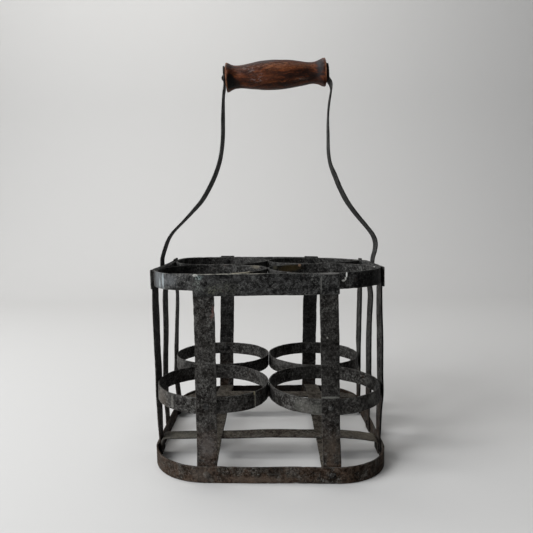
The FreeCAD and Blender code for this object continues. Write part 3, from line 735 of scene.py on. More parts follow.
def arm(name, node, side, mid, u, low, high, seed):
    s = -1 if side == "left" else 1
    t1 = on_axis(u, high + R_END)            # crown of the rounded tab
    path = bent_path(((s * ARM_X, PIV_Z - R_END), (s * ARM_X, 184.0 if side == "left" else 180.0)), mid, (on_axis(u, low), t1))
    if side == "left":
        tw = ((190, 197, 205, 214, 224, 236, 246, 259, 273, 289, 300, 313, 331, 342, 348, 356),
              (0, -0.3, 0, 0.8, 0.8, -2.9, -4.2, -4.3, -4.5, -6, -6, -5.5, -5, -2.5, -1, 0))
    else:
        tw = ((190, 196, 202, 209, 218, 230, 246, 259, 273, 280, 284, 296, 313, 333, 347, 360, 366),
              (0, 1.2, 2.6, 2.9, 2.5, 4, 6, 3.9, 3.5, 0, -1.2, -0.5, -0.9, -3.3, -1, -3, 0))
    return xz_strip(name, node, path, seed, (R_END, R_END), step=1.6, bend=0.8, cage=False, twist_z=tw)


pieces["bail_arm_left"] = arm("bail_left_strip", "bail_arm_left", "left", left_mid, TAB_L, -7.0, 3.4, 61)
pieces["bail_arm_right"] = arm("bail_right_strip", "bail_arm_right", "right", right_mid, TAB_R, -6.2, 0.6, 62)

ul, ur = TAB_L - T / 2, TAB_R + T / 2
prof = [(ul - h, r) for h, r in reversed(dome(3.3, 2.2))] + [(ul + 0.02, 3.25), (ul + 0.04, 2.5)] + \
       [(u, 2.5) for u in np.linspace(ul + 1, ur - 1, 6)] + [(ur - 0.04, 2.5), (ur - 0.02, 3.15)] + [(ur + h, r) for h, r in dome(3.2, 1.0)]
o = on_axis(0.0)
V, F = lathe(prof, (o[0], 0, o[1]), (GX, 0, GZ), (0, 0, 1))
pieces["grip_rod"] = group("grip_rod_peened", "grip_rod", [(V, F)], cage=False)

# -------------------------------------------------------------- build: grip
GL, GR = -51.5, 50.6
profile = [(GL, 12.3), (GL + 0.35, 13.5), (GL + 1.5, 14.15), (GL + 3.0, 13.75), (-45.6, 12.35), (-42.6, 11.45),
           (-38.5, 11.2), (-33.0, 11.55), (-26.5, 12.5), (-17.0, 13.85), (-6.0, 14.5), (3.0, 14.4), (10.5, 14.05),
           (19.0, 13.05), (27.0, 11.75), (34.2, 10.75), (39.0, 10.75), (43.2, 11.7), (46.4, 12.95),
           (GR - 1.5, 13.65), (GR - 0.35, 13.1), (GR, 11.9)]


def catmull(xs, ys, x):
    """smooth monotone-safe interpolation"""
    xs, ys = np.array(xs), np.array(ys)
    d = np.diff(ys) / np.diff(xs)
    m = np.zeros(len(xs)); m[0], m[-1] = d[0], d[-1]
    for i in range(1, len(xs) - 1):
        h0, h1 = xs[i] - xs[i - 1], xs[i + 1] - xs[i]
        m[i] = (d[i - 1] * h1 + d[i] * h0) / (h0 + h1)
    i = np.clip(np.searchsorted(xs, x) - 1, 0, len(xs) - 2)
    h = xs[i + 1] - xs[i]; k = (x - xs[i]) / h
    return ys[i] * (2 * k ** 3 - 3 * k ** 2 + 1) + h * m[i] * (k ** 3 - 2 * k ** 2 + k) + ys[i + 1] * (3 * k ** 2 - 2 * k ** 3) + h * m[i + 1] * (k ** 3 - k ** 2)


# cracks and nicks: (u from, u to, angle above the front at each end in degrees, depth, half width in mm)
CRACKS = [(-17.5, -7.0, 14, 26, 0.45, 0.26), (-8.5, 8.5, 27, 44, 0.50, 0.24), (-15.0, -1.0, 4, 13, 0.40, 0.24), (1.0, 16.5, 38, 20, 0.45, 0.26),
          (-30.0, -17.0, 34, 40, 0.30, 0.25), (6.0, 13.5, 10, 13, 0.30, 0.24), (13.0, 24.0, 46, 38, 0.30, 0.25),
          (20.0, 42.0, 16, -52, 0.20, 0.60), (-36.0, -8.0, -46, -40, 0.25, 0.40), (-26.0, -12.0, -12, -18, 0.22, 0.22),
          (-20.0, 22.0, 118, 112, 0.55, 0.30), (-36.0, -8.0, 160, 166, 0.40, 0.28), (5.0, 33.0, 205, 198, 0.40, 0.28),
          (-44.0, -30.0, -82, -78, 0.30, 0.26), (20.0, 38.0, 60, 66, 0.35, 0.26), (-10.0, 24.0, 250, 244, 0.30, 0.25)]
GW = Waves(81, 20, 14, 40)
GW2 = Waves(83, 26, 4, 11)


def build_grip():
    nu, nt = 280, 252
    us = np.concatenate([np.linspace(GL, GL + 3.0, 16)[:-1], np.linspace(GL + 3.0, GR - 3.0, nu - 30), np.linspace(GR - 3.0, GR, 16)[1:]])
    us[0], us[-1] = GL, GR
    xs, ys = [p[0] for p in profile], [p[1] for p in profile]
    r = catmull(xs, ys, us)
    th = np.arange(nt) * 2 * math.pi / nt
    U, TH = np.meshgrid(us, th, indexing="ij")
    R = np.repeat(r[:, None], nt, 1)
    crack = np.zeros_like(R)
    for u0, u1, a0, a1, dep, hw in CRACKS:
        k = np.clip((U - u0) / (u1 - u0), 0, 1)
        c = np.radians(a0 + (a1 - a0) * k) + 0.022 * np.sin(U * 0.55 + a0) + 0.012 * np.sin(U * 1.7 + 2.1 * a0)
        dd = np.angle(np.exp(1j * (TH - c))) * R
        taper = np.clip(np.minimum(U - u0, u1 - U) / (0.25 * (u1 - u0)), 0, 1)
        crack = np.maximum(crack, dep * np.exp(-(dd / hw) ** 2) * taper)
    L0 = np.stack([U, R * np.cos(TH), R * np.sin(TH)], -1)
    R2 = R + 0.12 * GW(L0) - crack
    grain = Waves(85, 30, 1.6, 5.0)(np.stack([U * 0.06, L0[..., 1], L0[..., 2]], -1))
    R2 = R2 + 0.035 * grain - 0.10 * np.clip(GW2(np.stack([U * 0.35, L0[..., 1], L0[..., 2]], -1)) - 0.9, 0, 2)
    # small chips on both rims
    chip = np.clip(Waves(87, 20, 4, 12)(L0) - 0.7, 0, 2)
    rim = np.exp(-((np.abs(U + 0.45) - 49.85) / 1.3) ** 2)
    R2 = R2 - 0.45 * chip * rim
    rows = [(np.full(nt, GL), np.full(nt, 2.62))]
    for f in (0.35, 0.7, 0.93):
        rows.append((np.full(nt, GL), 2.62 + (R2[0] - 2.62) * f))
    for i in range(len(us)):
        rows.append((U[i], R2[i]))
    for f in (0.93, 0.7, 0.35):
        rows.append((np.full(nt, GR), 2.62 + (R2[-1] - 2.62) * f))
    rows.append((np.full(nt, GR), np.full(nt, 2.62)))
    loc = np.stack([np.stack([uu, -rr * np.cos(th), rr * np.sin(th)], -1) for uu, rr in rows])   # u, y, n
    N = loc.shape[0]
    X = np.zeros_like(loc)
    X[..., 0] = GRIP_MID[0] + loc[..., 0] * GX - loc[..., 2] * GZ
    X[..., 1] = loc[..., 1]
    X[..., 2] = GRIP_MID[1] + loc[..., 0] * GZ + loc[..., 2] * GX
    X = settle(X, 0.35, False)
    F = []
    for i in range(N - 1):
        for j in range(nt):
            j2 = (j + 1) % nt
            F.append((i * nt + j, i * nt + j2, (i + 1) * nt + j2, (i + 1) * nt + j))
    for j in range(nt):                                        # the bore
        j2 = (j + 1) % nt
        F.append(((N - 1) * nt + j, (N - 1) * nt + j2, j2, j))
    cr = np.zeros((N, nt)); cr[4:4 + len(us)] = np.clip(crack / 0.5, 0, 1)
    ob = finish_mesh("wooden_grip_turned", X.reshape(-1, 3), F, {"crack": cr.reshape(-1)})
    at_ = ob.data.attributes.new("wood", "FLOAT_VECTOR", "POINT")
    at_.data.foreach_set("vector", (loc.reshape(-1, 3) * 0.001).astype(np.float32).ravel())
    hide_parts("wooden_grip")
    return ob


pieces["wooden_grip"] = build_grip()

# --------------------------------------------------------------- materials
class G:
    def __init__(self, name):
        self.m = bpy.data.materials.new(name)
        self.m.use_nodes = True
        self.t = self.m.node_tree
        self.t.nodes.clear()
        self.out = self.t.nodes.new("ShaderNodeOutputMaterial")
        self.p = self.t.nodes.new("ShaderNodeBsdfPrincipled")
        self.t.links.new(self.p.outputs[0], self.out.inputs[0])

    def put(self, node, key, v):
        if isinstance(v, bpy.types.NodeSocket):
            self.t.links.new(v, node.inputs[key])
        elif v is not None:
            node.inputs[key].default_value = v

    def coord(self):
        n = self.t.nodes.new("ShaderNodeTexCoord")
        return n.outputs["Object"]

    def attr(self, name, vec=False):
        n = self.t.nodes.new("ShaderNodeAttribute")
        n.attribute_name = name
        return n.outputs["Vector"] if vec else n.outputs["Fac"]

    def math(self, op, a, b=None, clamp=False):
        n = self.t.nodes.new("ShaderNodeMath")
        n.operation = op; n.use_clamp = clamp
        self.put(n, 0, a)
        if b is not None:
            self.put(n, 1, b)
        return n.outputs[0]

    def vmath(self, op, a, b=None, scale=None):
        n = self.t.nodes.new("ShaderNodeVectorMath")
        n.operation = op
        self.put(n, 0, a)
        if b is not None:
            self.put(n, 1, b)
        if scale is not None:
            self.put(n, "Scale", scale)
        return n.outputs["Value"] if op in ("LENGTH", "DOT_PRODUCT", "DISTANCE") else n.outputs["Vector"]

    def sep(self, v):
        n = self.t.nodes.new("ShaderNodeSeparateXYZ")
        self.put(n, 0, v)
        return n.outputs

    def noise(self, v, scale, detail=4.0, rough=0.6, dist=0.0, kind="FBM", color=False):
        n = self.t.nodes.new("ShaderNodeTexNoise")
        n.noise_dimensions = "3D"
        n.noise_type = kind
        self.put(n, "Vector", v)
        n.inputs["Scale"].default_value = scale
        n.inputs["Detail"].default_value = detail
        n.inputs["Roughness"].default_value = rough
        n.inputs["Distortion"].default_value = dist
        return n.outputs["Color"] if color else n.outputs["Fac"]

    def rng(self, x, a, b, c=0.0, d=1.0, smooth=True):
        n = self.t.nodes.new("ShaderNodeMapRange")
        n.interpolation_type = "SMOOTHSTEP" if smooth else "LINEAR"
        self.put(n, "Value", x)
        n.inputs["From Min"].default_value = a
        n.inputs["From Max"].default_value = b
        n.inputs["To Min"].default_value = c
        n.inputs["To Max"].default_value = d
        return n.outputs["Result"]

    def mix(self, f, a, b, mode="MIX"):
        n = self.t.nodes.new("ShaderNodeMix")
        n.data_type = "RGBA"
        n.blend_type = mode
        n.clamp_factor = True
        self.put(n, "Factor", f)
        ins = [i for i in n.inputs if i.type == "RGBA"]
        for sock, v in ((ins[0], a), (ins[1], b)):
            if isinstance(v, bpy.types.NodeSocket):
                self.t.links.new(v, sock)
            else:
                sock.default_value = tuple(v) + (1.0,) if len(v) == 3 else v
        return [o for o in n.outputs if o.type == "RGBA"][0]

    def ramp(self, f, stops):
        n = self.t.nodes.new("ShaderNodeValToRGB")
        self.put(n, 0, f)
        e = n.color_ramp.elements
        while len(e) > 1:
            e.remove(e[-1])
        e[0].position = stops[0][0]; e[0].color = tuple(stops[0][1]) + (1.0,)
        for p, c in stops[1:]:
            k = e.new(p); k.color = tuple(c) + (1.0,)
        return n.outputs["Color"]

    def bump(self, h, strength, dist, normal=None):
        n = self.t.nodes.new("ShaderNodeBump")
        n.inputs["Strength"].default_value = strength
        n.inputs["Distance"].default_value = dist
        self.put(n, "Height", h)
        if normal is not None:
            self.put(n, "Normal", normal)
        return n.outputs[0]

    def blob(self, co, centre, radii, soft=0.35, warp=None, amount=0.3):
        """1 inside an ellipsoid (mm), 0 outside, with a ragged edge"""
        v = self.vmath("SUBTRACT", co, tuple(c * 0.001 for c in centre))
        v = self.vmath("MULTIPLY", v, tuple(1000.0 / r for r in radii))
        d = self.vmath("LENGTH", v)
        if warp is not None:
            d = self.math("ADD", d, self.math("MULTIPLY", self.math("SUBTRACT", warp, 0.5), amount * 2))
        return self.rng(d, 1.0 + soft, 1.0 - soft)


def zinc(name, tone=1.0, contrast=1.0, marks=(), warm=0.0, dust_and_top_light=0.0, low_rust=1.0, worn=1.0, seed=0.0, patches=1.0, metallic=0.10, rough=0.62, speck=1.0, brown=0.0):
    """dull dark zinc on old strip: black-grey ground, granular bloom, worms of lighter oxide, specks, worn edges, rust low down"""
    g = G(name)
    co0 = g.coord()
    co = g.vmath("ADD", co0, (seed * 0.731, seed * 0.377, seed * 0.173))
    big = g.noise(co, 30, 4, 0.6)
    mid = g.noise(co, 125, 5, 0.66, 0.4)
    fine = g.noise(co, 430, 4, 0.70)
    grit = g.noise(co, 1500, 3, 0.6)
    worm = g.noise(co, 260, 2, 0.5, 1.2)
    worm2 = g.noise(co, 520, 2, 0.5, 0.8)
    wl = g.rng(g.math("ABSOLUTE", g.math("SUBTRACT", worm, 0.5)), 0.045, 0.004)
    wl2 = g.rng(g.math("ABSOLUTE", g.math("SUBTRACT", worm2, 0.5)), 0.050, 0.004)
    v = g.math("ADD", g.math("MULTIPLY", mid, 0.30), g.math("MULTIPLY", fine, 0.46))
    v = g.math("ADD", v, g.math("MULTIPLY", grit, 0.24))
    f = g.rng(v, 0.425, 0.595, 0, 1, smooth=False)
    d, m, l = 0.0048 * tone, 0.0180 * tone, 0.0720 * tone
    k = warm
    dark = (d * (1 + 0.25 * k), d, d * (1 - 0.25 * k))
    midc = (m * (1.02 + 0.22 * k), m, m * (0.97 - 0.22 * k))
    lite = (l * (1.0 + 0.12 * k), l, l * (0.98 - 0.12 * k))
    col = g.ramp(f, [(0.0, dark), (0.48, midc), (1.0, lite)])
    # broad patches, lighter and darker
    col = g.mix(g.rng(big, 0.50, 0.68, 0.0, 0.75 * patches), col, g.mix(0.45, col, lite), "MIX")
    col = g.mix(g.math("MULTIPLY", g.rng(big, 0.47, 0.32), 0.65), col, dark)
    # thin light worms, and a finer net of them
    patch = g.rng(g.noise(co, 55, 3, 0.55), 0.42, 0.60)
    ww = g.math("MULTIPLY", g.math("MULTIPLY", wl, g.rng(fine, 0.42, 0.58)), g.math("MULTIPLY", patch, 0.62 * contrast))
    col = g.mix(ww, col, (l * 1.9, l * 1.9, l * 1.78))
    w3 = g.math("MULTIPLY", g.math("MULTIPLY", wl2, g.rng(mid, 0.44, 0.56)), 0.30 * contrast)
    col = g.mix(w3, col, (l * 1.5, l * 1.5, l * 1.42))
    # dark pits and pale specks
    pit = g.rng(g.noise(co, 700, 2, 0.5), 0.40, 0.31)
    col = g.mix(g.math("MULTIPLY", pit, 0.8), col, (0.0020, 0.0020, 0.0021))
    sp = g.rng(g.noise(co, 640, 2, 0.5), 0.690, 0.735)
    col = g.mix(g.math("MULTIPLY", sp, 0.60 * speck), col, (0.17, 0.17, 0.155))
    # long scuffs that follow the strip
    run = g.attr("run", True)
    scuff = g.noise(g.vmath("MULTIPLY", run, (0.06, 1.0, 1.0)), 900, 3, 0.6)
    col = g.mix(g.rng(scuff, 0.60, 0.74, 0, 0.28), col, (l * 1.2, l * 1.2, l * 1.15))
    # rust: low down, and in stray spots
    z = g.sep(co0)[2]
    rn = g.noise(co, 85, 6, 0.72)
    low = g.rng(z, 0.075, 0.0)
    rust = g.math("MULTIPLY", g.math("MULTIPLY", low, low_rust), g.rng(rn, 0.40, 0.58, 0.10, 0.85))
    col = g.mix(rust, col, g.mix(f, (0.0075, 0.0042, 0.0026), (0.072, 0.044, 0.028)))
    spot = g.rng(g.noise(co, 120, 4, 0.65), 0.64, 0.72, 0, 0.5 + brown)
    col = g.mix(spot, col, (0.032, 0.0155, 0.0095))
    # dust and painted top light: what faces up is lightened, partly as dust and partly as painted light from above
    if dust_and_top_light:
        geo = g.t.nodes.new("ShaderNodeNewGeometry")
        nz = g.sep(geo.outputs["Normal"])[2]
        up = g.math("MULTIPLY", g.rng(nz, 0.55, 0.95), g.rng(mid, 0.38, 0.60, 0.30 * dust_and_top_light, dust_and_top_light))
        col = g.mix(up, col, g.mix(f, (0.028, 0.024, 0.017), (0.112, 0.099, 0.080)))
    # worn edges
    e = g.attr("edge")
    wear = g.math("MULTIPLY", g.rng(e, 0.25, 0.95), g.rng(g.noise(co, 230, 5, 0.7), 0.44, 0.60, 0.08, 0.60 * worn))
    col = g.mix(wear, col, (0.100, 0.098, 0.090))
    rag = g.noise(co0, 480, 4, 0.65)
    grain = g.noise(co0, 760, 3, 0.6)
    for mk in marks:
        c, r, rgb, s = mk[:4]
        soft = mk[4] if len(mk) > 4 else 0.35
        amt = mk[5] if len(mk) > 5 else 0.45
        broken = mk[6] if len(mk) > 6 else 0.0
        b = g.blob(co0, c, r, soft, rag, amt)
        if broken:
            b = g.math("MULTIPLY", b, g.rng(grain, 0.47, 0.57, 1.0 - broken, 1.0))
        col = g.mix(g.math("MULTIPLY", b, s), col, rgb)
    g.put(g.p, "Base Color", col)
    ro = g.rng(v, 0.40, 0.60, rough - 0.08, rough + 0.20, smooth=False)
    ro = g.math("ADD", ro, g.math("MULTIPLY", rust, 0.15))
    g.put(g.p, "Roughness", ro)
    g.p.inputs["Metallic"].default_value = metallic
    g.put(g.p, "Specular IOR Level", g.rng(v, 0.44, 0.60, 0.02, 0.16, smooth=False))
    h = g.math("ADD", g.math("MULTIPLY", mid, 0.45), g.math("MULTIPLY", fine, 0.40))
    h = g.math("ADD", h, g.math("MULTIPLY", grit, 0.15))
    h = g.math("SUBTRACT", h, g.math("MULTIPLY", pit, 0.12))
    h = g.math("ADD", h, g.math("MULTIPLY", wl, 0.05))
    g.put(g.p, "Normal", g.bump(h, 0.85, 0.0012))
    return g.m


def wood_material(name):
    """old turned hardwood, dark red-brown: fine figured grain, dark scorched patches, rubbed rims, pale grey-violet
    patches
    """
    g = G(name)
    w = g.attr("wood", True)
    warp = g.noise(w, 38, 3, 0.55, color=True)
    wd = g.vmath("SCALE", g.vmath("SUBTRACT", warp, (0.5, 0.5, 0.5)), scale=0.010)
    long_ = g.vmath("MULTIPLY", g.vmath("ADD", w, wd), (0.10, 1.0, 1.0))
    fibre = g.noise(long_, 1000, 5, 0.72)
    band = g.noise(long_, 230, 4, 0.62, 0.5)
    figure = g.noise(g.vmath("MULTIPLY", g.vmath("ADD", w, wd), (0.30, 1.0, 1.0)), 210, 3, 0.55, 1.6)
    fig = g.rng(g.math("ABSOLUTE", g.math("SUBTRACT", figure, 0.5)), 0.070, 0.004)
    blot = g.noise(g.vmath("MULTIPLY", w, (0.45, 1.0, 1.0)), 95, 4, 0.6, 0.5)
    f = g.math("ADD", g.math("MULTIPLY", fibre, 0.45), g.math("MULTIPLY", band, 0.55))
    f = g.rng(f, 0.38, 0.62, 0, 1, smooth=False)
    col = g.ramp(f, [(0.0, (0.0090, 0.0026, 0.0012)), (0.40, (0.044, 0.0110, 0.0036)), (0.75, (0.108, 0.0275, 0.0075)), (1.0, (0.185, 0.054, 0.0155))])
    col = g.mix(g.rng(blot, 0.50, 0.68, 0, 0.50), col, (0.120, 0.042, 0.0165))
    col = g.mix(g.rng(blot, 0.46, 0.32, 0, 0.80), col, (0.0068, 0.0024, 0.0014))
    col = g.mix(g.math("MULTIPLY", fig, g.rng(fibre, 0.40, 0.60, 0.25, 0.85)), col, (0.0060, 0.0020, 0.0012))
    pore = g.rng(g.noise(g.vmath("MULTIPLY", w, (0.16, 1.0, 1.0)), 1500, 2, 0.5), 0.40, 0.32)
    col = g.mix(g.math("MULTIPLY", pore, 0.65), col, (0.0045, 0.0018, 0.0012))
    rag = g.noise(g.vmath("MULTIPLY", w, (0.5, 1.0, 1.0)), 260, 4, 0.6)
    streak = g.noise(g.vmath("MULTIPLY", g.vmath("ADD", w, wd), (0.35, 1.0, 1.0)), 620, 3, 0.6)

    def spot(u, ang, r, ru, ra, rgb, s, soft=0.4, amt=0.5, broken=0.0):
        nonlocal col
        a = math.radians(ang)
        c = (u, -r * math.cos(a), r * math.sin(a))
        m = g.blob(w, c, (ru, ra, ra), soft, rag, amt)
        if broken:
            m = g.math("MULTIPLY", m, g.rng(streak, 0.48, 0.60, 1.0 - broken, 1.0))
        col = g.mix(g.math("MULTIPLY", m, s), col, rgb)

    spot(-3.0, 22, 14.4, 13.0, 4.0, (0.200, 0.076, 0.032), 0.70, 0.6, 0.9, 0.75)
    spot(9.0, 14, 14.2, 11.0, 3.2, (0.175, 0.062, 0.026), 0.60, 0.6, 0.9, 0.75)
    spot(-12.0, -14, 14.2, 16.0, 5.0, (0.110, 0.034, 0.012), 0.45, 0.7, 0.8, 0.6)
    spot(26.0, 26, 12.0, 8.0, 3.6, (0.100, 0.046, 0.024), 0.55, 0.6, 0.9, 0.7)
    # pale grey-violet patches on the upper and lower front
    spot(-26.0, 22, 12.6, 8.5, 4.2, (0.150, 0.115, 0.105), 0.55, 0.6, 1.1, 1.0)
    spot(-19.0, -28, 13.4, 6.5, 4.4, (0.145, 0.110, 0.108), 0.55, 0.6, 1.1, 1.0)
    spot(-37.0, 6, 11.4, 5.0, 4.0, (0.120, 0.052, 0.034), 0.45, 0.6, 1.0, 0.8)
    spot(27.0, -42, 11.8, 9.0, 1.6, (0.150, 0.120, 0.100), 0.55, 0.6, 1.0, 0.9)
    # scorched corner low on the left, dark valley on the right
    spot(-46.5, -34, 12.4, 4.6, 8.5, (0.0022, 0.0016, 0.0015), 0.97, 0.35, 0.6)
    spot(-42.0, -52, 11.4, 5.5, 5.5, (0.0026, 0.0018, 0.0016), 0.90, 0.5, 0.8)
    spot(-47.5, 42, 12.6, 3.6, 5.0, (0.0060, 0.0040, 0.0036), 0.70, 0.5, 0.8)
    spot(30.0, -8, 11.4, 7.0, 2.6, (0.0050, 0.0022, 0.0016), 0.80, 0.6, 0.9)
    spot(37.0, -36, 10.8, 7.0, 3.0, (0.0040, 0.0018, 0.0014), 0.85, 0.6, 0.9)
    spot(44.0, 12, 12.0, 3.6, 13.0, (0.0110, 0.0105, 0.0115), 0.85, 0.6, 0.8)
    spot(43.0, 24, 12.0, 1.8, 3.4, (0.0420, 0.0440, 0.0500), 0.70, 0.6, 1.0, 0.6)
    # rims rubbed lighter
    u = g.sep(w)[0]
    rim = g.rng(g.math("ABSOLUTE", g.math("ADD", u, 0.00045)), 0.0490, 0.0500)
    col = g.mix(g.math("MULTIPLY", rim, g.rng(blot, 0.38, 0.60, 0.25, 0.80)), col, (0.170, 0.074, 0.038))
    ends = g.rng(g.math("ABSOLUTE", g.math("ADD", u, 0.00045)), 0.05095, 0.05108)
    col = g.mix(g.math("MULTIPLY", ends, 0.85), col, g.mix(f, (0.010, 0.005, 0.003), (0.060, 0.028, 0.016)))
    cr = g.attr("crack")
    col = g.mix(g.rng(cr, 0.10, 0.55, 0, 0.97), col, (0.0022, 0.0012, 0.0009))
    g.put(g.p, "Base Color", col)
    g.put(g.p, "Roughness", g.rng(g.math("ADD", g.math("MULTIPLY", blot, 0.6), g.math("MULTIPLY", fibre, 0.4)), 0.38, 0.62, 0.36, 0.62, smooth=False))
    g.p.inputs["Metallic"].default_value = 0.0
    g.p.inputs["Specular IOR Level"].default_value = 0.12
    g.p.inputs["Coat Weight"].default_value = 0.02
    g.p.inputs["Coat Roughness"].default_value = 0.30
    h = g.math("ADD", g.math("MULTIPLY", fibre, 0.5), g.math("MULTIPLY", band, 0.5))
    h = g.math("SUBTRACT", h, g.math("MULTIPLY", pore, 0.25))
    h = g.math("SUBTRACT", h, g.math("MULTIPLY", fig, 0.20))
    g.put(g.p, "Normal", g.bump(h, 0.75, 0.0008))
    return g.m


WHITE = (0.55, 0.56, 0.52)
TEAL = (0.20, 0.27, 0.27)
YEL = (0.42, 0.38, 0.24)
hoop_marks = [
    # bright hook-shaped mark on the right front corner
    ((66.9, -103.9, 178.4), (0.7, 1.2, 2.3), (0.80, 0.80, 0.76), 1.0, 0.25, 0.15),
    ((65.9, -104.2, 175.2), (0.8, 1.0, 1.4), (0.62, 0.62, 0.58), 0.95, 0.3, 0.2),
    ((64.2, -104.7, 173.6), (1.5, 1.0, 0.8), (0.66, 0.66, 0.62), 0.95, 0.3, 0.2),
    # pale bloom with runs on the left front corner, partly painted light where the corner faces the window
    ((-96.0, -83.0, 174.0), (9.0, 9.0, 9.0), (0.15, 0.16, 0.165), 0.55, 0.6, 0.5),
    ((-91.6, -88.7, 174.0), (1.5, 1.5, 6.5), (0.27, 0.30, 0.31), 0.75, 0.5, 0.6),
    ((-95.3, -84.0, 171.0), (1.2, 1.4, 4.6), (0.25, 0.28, 0.28), 0.7, 0.5, 0.6),
    ((-84.0, -95.5, 174.5), (7.0, 6.0, 5.0), (0.10, 0.105, 0.11), 0.45, 0.6, 0.6),
    # painted shade: the right corner, turned away from the light, is painted darker
    ((94.0, -90.0, 171.0), (20.0, 22.0, 14.0), (0.0030, 0.0032, 0.0032), 0.80, 0.5, 0.8),
]
plate_marks = [
    ((-60.6, -109.3, 180.0), (2.6, 2.0, 1.3), WHITE, 0.85, 0.35, 1.0, 0.6),
    ((-57.2, -109.3, 178.0), (2.6, 2.0, 2.0), TEAL, 0.7, 0.6, 1.3, 0.9),
    ((-58.0, -109.3, 173.6), (3.6, 2.0, 6.4), (0.20, 0.22, 0.20), 0.55, 0.7, 1.5, 1.0),
    ((-53.4, -109.3, 171.2), (0.9, 2.0, 0.7), WHITE, 0.8, 0.4, 0.5),
    ((-46.6, -109.3, 167.4), (4.6, 2.0, 2.8), (0.115, 0.118, 0.085), 0.60, 0.7, 1.5, 1.0),
    ((-36.0, -109.3, 168.4), (9.0, 2.0, 4.0), (0.100, 0.102, 0.082), 0.45, 0.8, 1.5, 1.0),
    ((-38.0, -109.3, 181.0), (22.0, 2.0, 0.55), (0.36, 0.35, 0.30), 0.8, 0.4, 0.5),
    ((-12.0, -109.3, 181.0), (9.0, 2.0, 0.55), (0.34, 0.32, 0.27), 0.7, 0.4, 0.5),
    ((44.7, -109.3, 172.0), (0.45, 2.0, 8.6), (0.14, 0.14, 0.13), 0.65, 0.5, 0.5),
    ((52.5, -109.3, 180.2), (8.0, 2.0, 0.8), (0.18, 0.175, 0.165), 0.7, 0.4, 0.5),
]
upright_marks = [
    ((-46.2, -107.6, 148.6), (1.1, 2.0, 4.2), (0.150, 0.078, 0.068), 0.65, 0.6, 1.0, 0.5),
    ((-47.2, -107.6, 144.6), (1.3, 2.0, 2.4), (0.140, 0.072, 0.064), 0.6, 0.6, 1.0, 0.6),
    ((-50.0, -107.6, 137.0), (1.1, 2.0, 1.2), (0.13, 0.13, 0.12), 0.6, 0.5, 0.6),
    ((49.9, -107.6, 125.4), (0.7, 2.0, 0.7), (0.34, 0.33, 0.30), 0.8, 0.4, 0.4),
    ((53.0, -107.8, 73.6), (8.5, 2.0, 0.9), (0.22, 0.22, 0.20), 0.7, 0.4, 0.7),
    ((-54.0, -108.4, 31.0), (7.0, 2.5, 11.0), (0.105, 0.092, 0.085), 0.55, 0.6, 1.0),
    ((53.0, -108.6, 26.0), (8.0, 2.5, 14.0), (0.082, 0.066, 0.052), 0.5, 0.6, 1.2),
    ((53.0, -108.0, 104.0), (13.0, 4.0, 52.0), (0.0055, 0.0053, 0.0050), 0.34, 0.7, 1.0),
    ((-107.0, -52.0, 120.0), (4.0, 14.0, 60.0), (0.0035, 0.0035, 0.0035), 0.45, 0.6, 0.8),
    # painted shade: the front narrow edges of the right side's strips, turned from the light, are painted black
    ((107.0, -61.0, 100.0), (7.0, 2.6, 120.0), (0.0026, 0.0025, 0.0024), 0.88, 0.3, 0.2),
    ((107.0, -9.0, 100.0), (7.0, 2.2, 120.0), (0.0030, 0.0029, 0.0028), 0.75, 0.3, 0.2),
    ((107.0, 43.6, 100.0), (7.0, 2.2, 120.0), (0.0030, 0.0029, 0.0028), 0.75, 0.3, 0.2),
]
ring_marks = [
    # painted highlight: a yellowish glint at the top of the seam
    ((-13.0, -87.2, 71.2), (1.0, 1.2, 1.6), YEL, 0.85, 0.4, 0.4),
    ((-12.5, -86.9, 66.0), (0.5, 0.8, 6.5), (0.45, 0.43, 0.35), 0.7, 0.4, 0.5),
    ((-85.4, -94.4, 66.5), (1.3, 1.6, 6.6), (0.20, 0.195, 0.175), 0.38, 0.6, 0.9),
    ((-97.0, -81.0, 66.0), (7.0, 12.0, 9.0), (0.120, 0.104, 0.088), 0.40, 0.7, 1.2),
    ((27.0, -98.8, 64.5), (5.6, 3.6, 5.8), (0.17, 0.168, 0.150), 0.32, 0.75, 1.0),
    ((33.0, -101.6, 62.0), (4.0, 3.0, 6.5), (0.16, 0.155, 0.140), 0.30, 0.75, 1.1),
    ((41.0, -104.4, 63.0), (6.0, 3.0, 6.0), (0.13, 0.13, 0.115), 0.35, 0.7, 1.1),
    ((25.3, -10.6, 65.0), (0.8, 0.9, 2.4), (0.24, 0.24, 0.22), 0.8, 0.4, 0.4),
    ((92.0, -88.0, 65.0), (6.0, 6.0, 5.0), (0.12, 0.12, 0.11), 0.4, 0.6, 1.0),
    # painted shade: the inner faces are painted black where the rings meet and where the uprights cast shadow
    ((58.0, -3.0, 66.0), (44.0, 12.0, 14.0), (0.0035, 0.0034, 0.0033), 0.35, 0.7, 1.0),
    ((-52.0, -1.0, 66.0), (40.0, 10.0, 14.0), (0.0060, 0.0057, 0.0053), 0.25, 0.7, 1.0),
    ((104.0, -48.0, 66.0), (7.0, 26.0, 14.0), (0.0050, 0.0046, 0.0040), 0.45, 0.7, 1.0),
    ((55.0, 105.0, 66.0), (46.0, 12.0, 14.0), (0.0030, 0.0030, 0.0030), 0.40, 0.7, 1.0),
]
